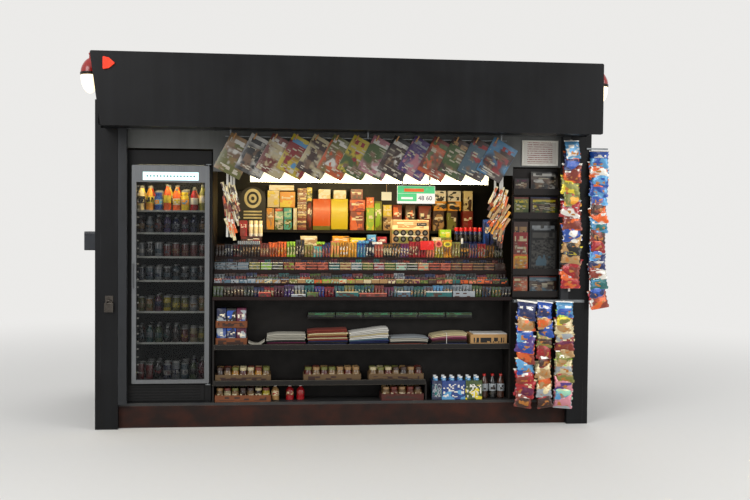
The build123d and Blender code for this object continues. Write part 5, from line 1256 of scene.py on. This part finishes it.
def makeStock():
    rng = np.random.default_rng(53)

    def jarRow(row):
        # a row of like jars
        x = row["left"] + np.arange(row["count"]) * row["pitch"]
        place = rowsOf(x, row["y"], row["base"] + row["size"][2] / 2)
        return goods(jarShape, row["size"], place, paints(row["tint"]), paints(row["ink"]), rng.random(x.size))

    makePiece("stock_cartons", boxesAt(stock["boxes"]), printedCarton, ("stock_boxes",))
    makePiece("plain_cartons", boxesAt(stock["plain"]), plainCarton)
    makePiece("stacked_packs", boxesAt(stock["stacked"]), printedCarton)
    makePiece("counter_boxes", boxesAt(stock["counter"]), printedCarton)
    ladder = stock["ladder"]
    count = ladder["count"]
    z = ladder["bottom"] + (np.arange(count) + 0.5) * ladder["pitch"]
    tint = paints(ladder["lowest"] + ladder["upper"] * count)[:count]
    place = rowsOf(ladder["x"], ladder["face"], z)
    packs = goods(boxShape, ladder["pack"], place, tint, paints(ladder["ink"]), rng.random(count))
    makePiece("pack_ladder", packs, edgedCarton)
    makePiece("counter_jars", jarRow(stock["redJars"]), redCapJar)
    makePiece("white_jars", jarRow(stock["whiteJars"]), jarPrint)
    lids = stock["lids"]
    x = np.tile(lids["left"] + np.arange(lids["count"]) * lids["pitch"], len(lids["heights"]))
    place = rowsOf(x, lids["face"], np.repeat(lids["heights"], lids["count"]))
    lid = turned([(-0.5, 0.9), (-0.3, 1.0), (0.4, 1.0), (0.5, 0.8)], 16)
    facing = turnAbout("x", math.pi / 2)
    disc = goods(lid, lids["size"], place, paints("cocoa"), paints("black"), rng.random(x.size), facing)
    makePiece("carton_lids", disc, darkRing)
    size = np.array(lids["size"]) * lids["labelShare"]
    label = goods(lid, size, place - (0, lids["labelOut"], 0), paints("coal"), paints("olive"), rng.random(x.size), facing)
    makePiece("carton_lid_labels", label, cardPrint)


poster = {
    "left": -0.846, "right": -0.62, "face": 0.5785, "bottom": 1.4403, "top": 1.815, "thick": 0.004, "gap": 0.0002,
    # ovals: width and height of the largest, height of their middle, thickness; share of the largest and lift of each
    "oval": (0.15, 0.17), "ovalHeight": 1.712, "inkThick": 0.0008,
    "pale": ((1.0, 0.0), (0.46, 0.002)), "dark": ((0.7, 0.001), (0.2, 0.003)),
    "barHalf": 0.08, "barTall": 0.014, "barThick": 0.001, "barHeights": (1.59, 1.562, 1.534),
}


def makePoster():
    # A board with an arched top: outline (x, z) = rectangle below, half ellipse above, given its thickness along y.
    # On it two pale oval rings and three bars, a plain pattern of its own.
    half = (poster["right"] - poster["left"]) / 2
    middle = (poster["left"] + poster["right"]) / 2
    spring = poster["top"] - half
    turn = np.linspace(0, math.pi, 25)
    arch = np.stack((half * np.cos(turn), spring + half * np.sin(turn)), -1)
    foot = np.array([[-half, poster["bottom"]], [half, poster["bottom"]]])
    outline = np.concatenate((arch, foot)) - (0, spring)

    def plate(shape, height, thick, face):
        points, quads = loft(shape, [0, thick], [1, 1])
        return np.stack((points[:, 0] + middle, face - points[:, 2], points[:, 1] + height), -1), quads, {}

    makePiece("poster_board", plate(outline, spring, poster["thick"], poster["face"]), posterBlack)
    front = poster["face"] - poster["thick"]
    ring = roundOutline(28) * poster["oval"]
    for name, rows, material in (("poster_oval", "pale", posterCream), ("poster_oval_inner", "dark", posterBlack)):
        ovals = [plate(ring * share, poster["ovalHeight"], poster["inkThick"], front - poster["gap"] - lift)
                 for share, lift in poster[rows]]
        makePiece(name, joined(ovals), material)
    bars = [(middle - poster["barHalf"], middle + poster["barHalf"], front - poster["barThick"], front - poster["gap"],
             z, z + poster["barTall"], "cream") for z in poster["barHeights"]]
    makePiece("poster_bars", boxesAt(bars), posterCream)


# Card, tag and notice

card = {
    "left": 0.3595, "right": 0.6445, "bottom": 1.66, "top": 1.792, "back": -0.874, "thick": 0.006,
    # print: from and to across from the left edge, from and to up from the foot, layer, colour
    "print": ((0.003, 0.282, 0.076, 0.13, 1, "leaf"), (0.003, 0.146, 0.018, 0.074, 1, "leaf"),
              (0.052, 0.2, 0.088, 0.112, 2, "orange"), (0.03, 0.118, 0.032, 0.048, 2, "white")),
    "layer": 0.0006, "ink": 0.0005,
    "digits": "48 60", "digitMm": 46, "digitPlace": (0.158, 0.026), "digitThick": 0.0003,
    # straps: middles, half width and thickness, lap behind the card, and the hook that goes back to the header
    "straps": (0.3995, 0.6045), "strap": 0.006, "strapLap": 0.07, "hook": (1.915, 1.95), "hookBack": -0.85,
}


def makeCard():
    front, back, strap = card["back"] - card["thick"], card["back"], card["strap"]
    left, right, bottom, top = card["left"], card["right"], card["bottom"], card["top"]
    sheet = (left, right, front, back, bottom, top, "white")
    makePiece("price_card", boxesAt([sheet]), litCard, ("hanging_card",))
    panels = [(left + near, left + far, front - layer * card["layer"], front - layer * card["layer"] + card["ink"],
               bottom + low, bottom + high, colour) for near, far, low, high, layer, colour in card["print"]]
    makePiece("card_print", boxesAt(panels), litCard)
    hookLow, hookHigh = card["hook"]
    straps = [(x - strap, x + strap, back, back + strap, top - card["strapLap"], hookHigh, "silver") for x in card["straps"]]
    straps += [(x - strap, x + strap, back + strap, card["hookBack"], hookLow, hookHigh, "silver") for x in card["straps"]]
    makePiece("card_straps", boxesAt(straps), galvanised)
    text = bpy.data.curves.new("cardDigits", "FONT")
    text.body, text.size, text.extrude = card["digits"], card["digitMm"] / 1000, card["digitThick"]
    holder = bpy.data.objects.new("cardDigits", text)
    bpy.context.scene.collection.objects.link(holder)
    bpy.context.view_layer.update()
    mesh = bpy.data.meshes.new_from_object(holder)
    bpy.data.objects.remove(holder)
    x, z = left + card["digitPlace"][0], bottom + card["digitPlace"][1]
    mesh.transform(Matrix(((1, 0, 0, x), (0, 0, -1, front - card["layer"]), (0, 1, 0, z), (0, 0, 0, 1))))
    mesh.name = "card_digits"
    addPiece("card_digits", mesh, posterBlack)


tag = {
    "left": 0.243, "right": 0.318, "bottom": 1.682, "top": 1.744, "back": -0.87, "thick": 0.0015,
    # the strip that it hangs on: half width, before and behind the tag's back, lap over the tag, top
    "stripHalf": 0.0015, "stripFront": 0.001, "stripBack": 0.0018, "stripLap": 0.012, "hangTop": 1.812,
}


def makeTag():
    middle, back = (tag["left"] + tag["right"]) / 2, tag["back"]
    rows = [(tag["left"], tag["right"], back - tag["thick"], back, tag["bottom"], tag["top"], "cream white"),
            (middle - tag["stripHalf"], middle + tag["stripHalf"], back - tag["stripFront"], back + tag["stripBack"],
             tag["top"] - tag["stripLap"], tag["hangTop"], "tan")]
    makePiece("price_tag", boxesAt(rows), litCard)


notice = {"left": 1.324, "right": 1.576, "bottom": 1.971, "top": 2.133, "face": -0.8536, "thick": 0.0004}


def makeNotice():
    # the sheet in the frame, its print a set of ruled lines
    sheet = (notice["left"], notice["right"], notice["face"], notice["face"] + notice["thick"], notice["bottom"], notice["top"],
             "white")
    makePiece("notice_sheet", boxesAt([sheet]), ruledSheet)


# Cover strips and rivets on the sheeting of the walls, and laps in the roof felt

sheeting = {
    "backSeams": (-0.6, 0.6), "backEdge": 1.765, "backFace": 0.915, "backTop": 2.29,
    "sideSeams": (0.02,), "sideEdge": 0.885, "sideFace": 1.83, "sideTop": 2.305,
    "bottom": 0.012, "strip": 0.044, "thick": 0.0016, "gap": 0.0002,
    # rivets: width, height, pitch, distance from a seam, and from the foot and the top of the sheet
    "rivetWide": 0.013, "rivetHigh": 0.0034, "rivetPitch": 0.12, "inset": 0.013, "fromFoot": 0.04, "fromTop": 0.02,
    # felt laps: their places along y, width, thickness; the roof's top is at level minus fall times the way back from front
    "laps": (-0.08, 0.4), "lapWide": 0.12, "lapThick": 0.003, "halfWidth": 1.846,
    "level": 2.4063, "fall": 0.019126, "front": -0.915,
}


def makeSheeting():
    strips, heads = [], []
    rivet = turned([(-0.5, 1.0), (-0.1, 0.94), (0.3, 0.6), (0.5, 0.12)], 8)
    half, thick, gap, inset = sheeting["strip"] / 2, sheeting["thick"], sheeting["gap"], sheeting["inset"]

    def rivets(across, face, top, side=0):
        # one column of heads up a wall: side is 0 for the back, or -1 or 1 for a side wall
        z = np.arange(sheeting["bottom"] + sheeting["fromFoot"], top - sheeting["fromTop"], sheeting["rivetPitch"])
        out = face + sheeting["rivetHigh"] / 2
        place = rowsOf(side * out, across, z) if side else rowsOf(across, out, z)
        turns = turnAbout("y", side * math.pi / 2) if side else turnAbout("x", -math.pi / 2)
        size = (sheeting["rivetWide"], sheeting["rivetWide"], sheeting["rivetHigh"])
        heads.append(goods(rivet, size, place, paints("black"), None, np.full(z.size, 0.5), turns))

    bottom, face, top = sheeting["bottom"], sheeting["backFace"], sheeting["backTop"]
    for x in sheeting["backSeams"]:
        strips.append((x - half, x + half, face + gap, face + thick, bottom, top, "black"))
        for edge in (-inset, inset):
            rivets(x + edge, face + thick, top)
    for edge in (-1, 1):
        rivets(edge * sheeting["backEdge"], face, top)
    face, top = sheeting["sideFace"], sheeting["sideTop"]
    for side in (-1, 1):
        near, far = sorted((side * (face + gap), side * (face + thick)))
        for y in sheeting["sideSeams"]:
            strips.append((near, far, y - half, y + half, bottom, top, "black"))
            for edge in (-inset, inset):
                rivets(y + edge, face + thick, top, side)
        rivets(sheeting["sideEdge"], face, top, side)
    makePiece("sheet_strips", boxesAt(strips), blackEnamel)
    makePiece("sheet_rivets", joined(heads), blackEnamel)

    y = np.array(sheeting["laps"])
    z = sheeting["level"] - sheeting["fall"] * (y - sheeting["front"]) + sheeting["lapThick"] / 2
    size = (2 * sheeting["halfWidth"], sheeting["lapWide"], sheeting["lapThick"])
    laps = goods(boxShape, size, rowsOf(0, y, z), paints("black"), None, np.full(y.size, 0.5), turnAbout("x", -sheeting["fall"]))
    makePiece("felt_laps", laps, bitumenFelt)


# Lamps on the fascia ends

lamps = {
    "x": 1.846, "y": -1.02, "ringZ": 2.536, "ringRadius": 0.066, "glassRadius": 0.062, "glassHeight": 0.128, "glassGap": 0.0003,
    # hood: foot above the ring's foot, rise, shares of the ring's diameter at the foot and added at the top
    "hoodFoot": 0.0205, "hoodRise": 0.0995, "hoodWide": 0.97, "hoodTip": 0.09,
    # heights above the ring's foot, with diameters for the stem and shares of the ring's diameter for the ring
    "stem": ((0.144, 0.012), (0.146, 0.018), (0.153, 0.019), (0.161, 0.003)),
    "ring": ((0, 0.9), (0.001, 1), (0.006, 1.03), (0.01, 1), (0.014, 1.03), (0.02, 1)),
    # the bar that carries each: its start, how far short of the lamp's axis it ends, half its depth, its height
    "barFrom": 1.76, "barShort": 0.055, "barHalf": 0.011, "barTall": 0.026,
}


def makeLamps():
    # Each is turned on its own axis: a hood of diameter ring (wide (1 - t ** 1.7) ** 0.75 + tip t) that falls in a curve
    # from the stem, a ring, and a glass of diameter 2 r (1 - t ** 2.4) ** 0.6
    wide, glass, base, y = 2 * lamps["ringRadius"], 2 * lamps["glassRadius"], lamps["ringZ"], lamps["y"]
    t = np.linspace(0, 1, 15)
    falling = wide * (lamps["hoodWide"] * (1 - t ** 1.7) ** 0.75 + lamps["hoodTip"] * t)
    hood = np.stack((base + lamps["hoodFoot"] + lamps["hoodRise"] * t, falling), -1).tolist()
    hood += [(base + height, diameter) for height, diameter in lamps["stem"]]
    ring = [(base + height, wide * share) for height, share in lamps["ring"]]
    t = np.linspace(1, 0, 18)
    rounded = glass * np.maximum(1 - t ** 2.4, 0) ** 0.6
    bowl = np.stack((base - lamps["glassGap"] - lamps["glassHeight"] * t, rounded), -1).tolist()
    bars = []
    for side in (-1, 1):
        near, far = sorted((side * lamps["barFrom"], side * (lamps["x"] - lamps["barShort"])))
        row = (near, far, y - lamps["barHalf"], y + lamps["barHalf"], base, base + lamps["barTall"], "black")
        bars.append((*boxesAt([row])[:2], {}))
    for name, profile, others, material, slotName, replaced in (
            ("lamp_hoods", hood, [], redEnamel, "lamp_metal", ("lamp_caps",)),
            ("lamp_rings", ring, bars, darkRing, "lamp_metal", ()),
            ("lamp_bowls", bowl, [], opalGlass, "lamp_glass", ("lamp_glasses",))):
        points, quads = turned(profile, 36)
        pair = [(points + (side * lamps["x"], y, 0), quads, {}) for side in (-1, 1)]
        makePiece(name, joined(pair + others), material, replaced)


for make in (makeCandy, makeSnackStrips, makeServingPacks, makeMagazines, makeRackGoods, makePapers, makeTrays, makeLedgePacks,
             makeFloorDrinks, makeDrinks, makeStock, makePoster, makeCard, makeTag, makeNotice, makeSheeting, makeLamps):
    make()
print("goods, signs and lamps made")


# Stage, light and camera

view = {
    "place": (-0.575, -8.175, 1.55), "turn": 6.043, "dip": -1.857, "roll": 0.537, "focalMm": 47.376, "sensorMm": 36.0,
    "floor": "#dcdad5", "reach": 40.0, "backdrop": "#f1f0ee", "backdropStrength": 0.95, "fadeFrom": 3.0, "fadeTo": 8.0,
    "world": "#f4f6fa", "worldStrength": 0.8, "shopColour": "#ffdf9e",
    "lights": {
        # place, aim, length, width where it is narrow, watts
        "keyLight": ((-4.5, -6.5, 5.5), (0, 0, 1.2), 4.0, None, 260),
        "fillLight": ((5.5, -5.0, 3.5), (0, 0, 1.2), 4.0, None, 120),
        # the tubes' own light on the back shelf, from just behind the header, and a short one under the top of the fridge
        "shopLight": ((0.13, -0.62, 1.86), (0.13, 0.62, 1.5), 1.7, 0.08, 18),
        "fridgeLight": ((-1.303, -0.79, 1.898), (-1.303, -0.7, 1.6), 0.44, 0.02, 3.0),
        "rearLight": ((2.0, 7.0, 5.0), (0, 0, 1.2), 5.0, None, 120),
    },
}


def makeCamera():
    # forward = (sin turn cos dip, cos turn cos dip, sin dip); right and up are then rolled about it
    turn, dip, roll = (math.radians(view[k]) for k in ("turn", "dip", "roll"))
    forward = np.array([math.sin(turn) * math.cos(dip), math.cos(turn) * math.cos(dip), math.sin(dip)])
    level = np.array([math.cos(turn), -math.sin(turn), 0.0])
    upright = np.cross(level, forward)
    right = math.cos(roll) * level + math.sin(roll) * upright
    up = math.cos(roll) * upright - math.sin(roll) * level
    data = bpy.data.cameras.new("camera")
    data.lens, data.sensor_width = view["focalMm"], view["sensorMm"]
    camera = bpy.data.objects.new("camera", data)
    camera.matrix_world = Matrix(np.column_stack((right, up, -forward, view["place"])).tolist() + [[0, 0, 0, 1]])
    bpy.context.scene.collection.objects.link(camera)
    bpy.context.scene.camera = camera


def makeLights():
    # Each is a soft box that faces the point it is aimed at: its z axis runs from the aim to its place.
    # The narrow ones are the kiosk's own, warm and out of the camera's sight.
    for name, (place, aim, long, narrow, watts) in view["lights"].items():
        data = bpy.data.lights.new(name, "AREA")
        data.size, data.energy = long, watts
        lamp = bpy.data.objects.new(name, data)
        backward = np.array(place, float) - np.array(aim, float)
        backward /= np.linalg.norm(backward)
        side = np.cross((0, 0, 1), backward)
        side /= np.linalg.norm(side)
        axes = np.column_stack((side, np.cross(backward, side), backward, place))
        lamp.matrix_world = Matrix(axes.tolist() + [[0, 0, 0, 1]])
        bpy.context.scene.collection.objects.link(lamp)
        if narrow:
            data.shape, data.size_y = "RECTANGLE", narrow
            data.color = toLinear(view["shopColour"])[:3]
            lamp.visible_camera = False


def makeFloor():
    # a pale floor that fades with distance into the same white as the world, so that no horizon shows
    reach = view["reach"]
    corners = [(-reach, -reach, 0), (reach, -reach, 0), (reach, reach, 0), (-reach, reach, 0)]
    mesh = bpy.data.meshes.new("floor")
    mesh.from_pydata(corners, [], [(0, 1, 2, 3)])
    floor = bpy.data.objects.new("floor", mesh)
    bpy.context.scene.collection.objects.link(floor)
    material, tree, shader = startMaterial("paleFloor", {"Base Color": toLinear(view["floor"]), "Roughness": 0.9})
    place = addNode(tree, "TexCoord").outputs["Object"]
    away = addNode(tree, "VectorMath", "LENGTH", {0: place}).outputs["Value"]
    fade = addNode(tree, "MapRange", {"interpolation_type": "SMOOTHSTEP"}, {
        "Value": away, "From Min": view["fadeFrom"], "From Max": view["fadeTo"]})
    rays = addNode(tree, "LightPath").outputs
    seen = addNode(tree, "Math", "MAXIMUM", {0: rays["Is Camera Ray"], 1: rays["Is Glossy Ray"]})
    share = addNode(tree, "Math", "MULTIPLY", {0: fade, 1: seen})
    glow = addNode(tree, "Emission", None, {"Color": toLinear(view["backdrop"]), "Strength": view["backdropStrength"]})
    both = addNode(tree, "MixShader", None, {0: share, 1: shader, 2: glow})
    tree.links.new(both.outputs[0], tree.nodes["Material Output"].inputs[0])
    mesh.materials.append(material)


def makeWorld():
    # a soft even light, which the camera, glass and metal see as white
    world = bpy.data.worlds.new("studio")
    world.use_nodes = True
    bpy.context.scene.world = world
    tree = world.node_tree
    rays = addNode(tree, "LightPath").outputs
    seen = addNode(tree, "Math", "MAXIMUM", {0: rays["Is Camera Ray"], 1: rays["Is Glossy Ray"]})
    shown = addNode(tree, "Math", "MAXIMUM", {0: seen, 1: rays["Is Transmission Ray"]})
    light = addNode(tree, "Background", None, {"Color": toLinear(view["world"]), "Strength": view["worldStrength"]})
    white = addNode(tree, "Background", None, {"Color": toLinear(view["backdrop"]), "Strength": view["backdropStrength"]})
    mix = addNode(tree, "MixShader", None, {0: shown, 1: light, 2: white})
    tree.links.new(mix.outputs[0], tree.nodes["World Output"].inputs[0])


makeCamera()
makeFloor()
makeWorld()
makeLights()
bpy.context.scene.view_settings.view_transform = "Standard"
print("stage, light and camera ready")
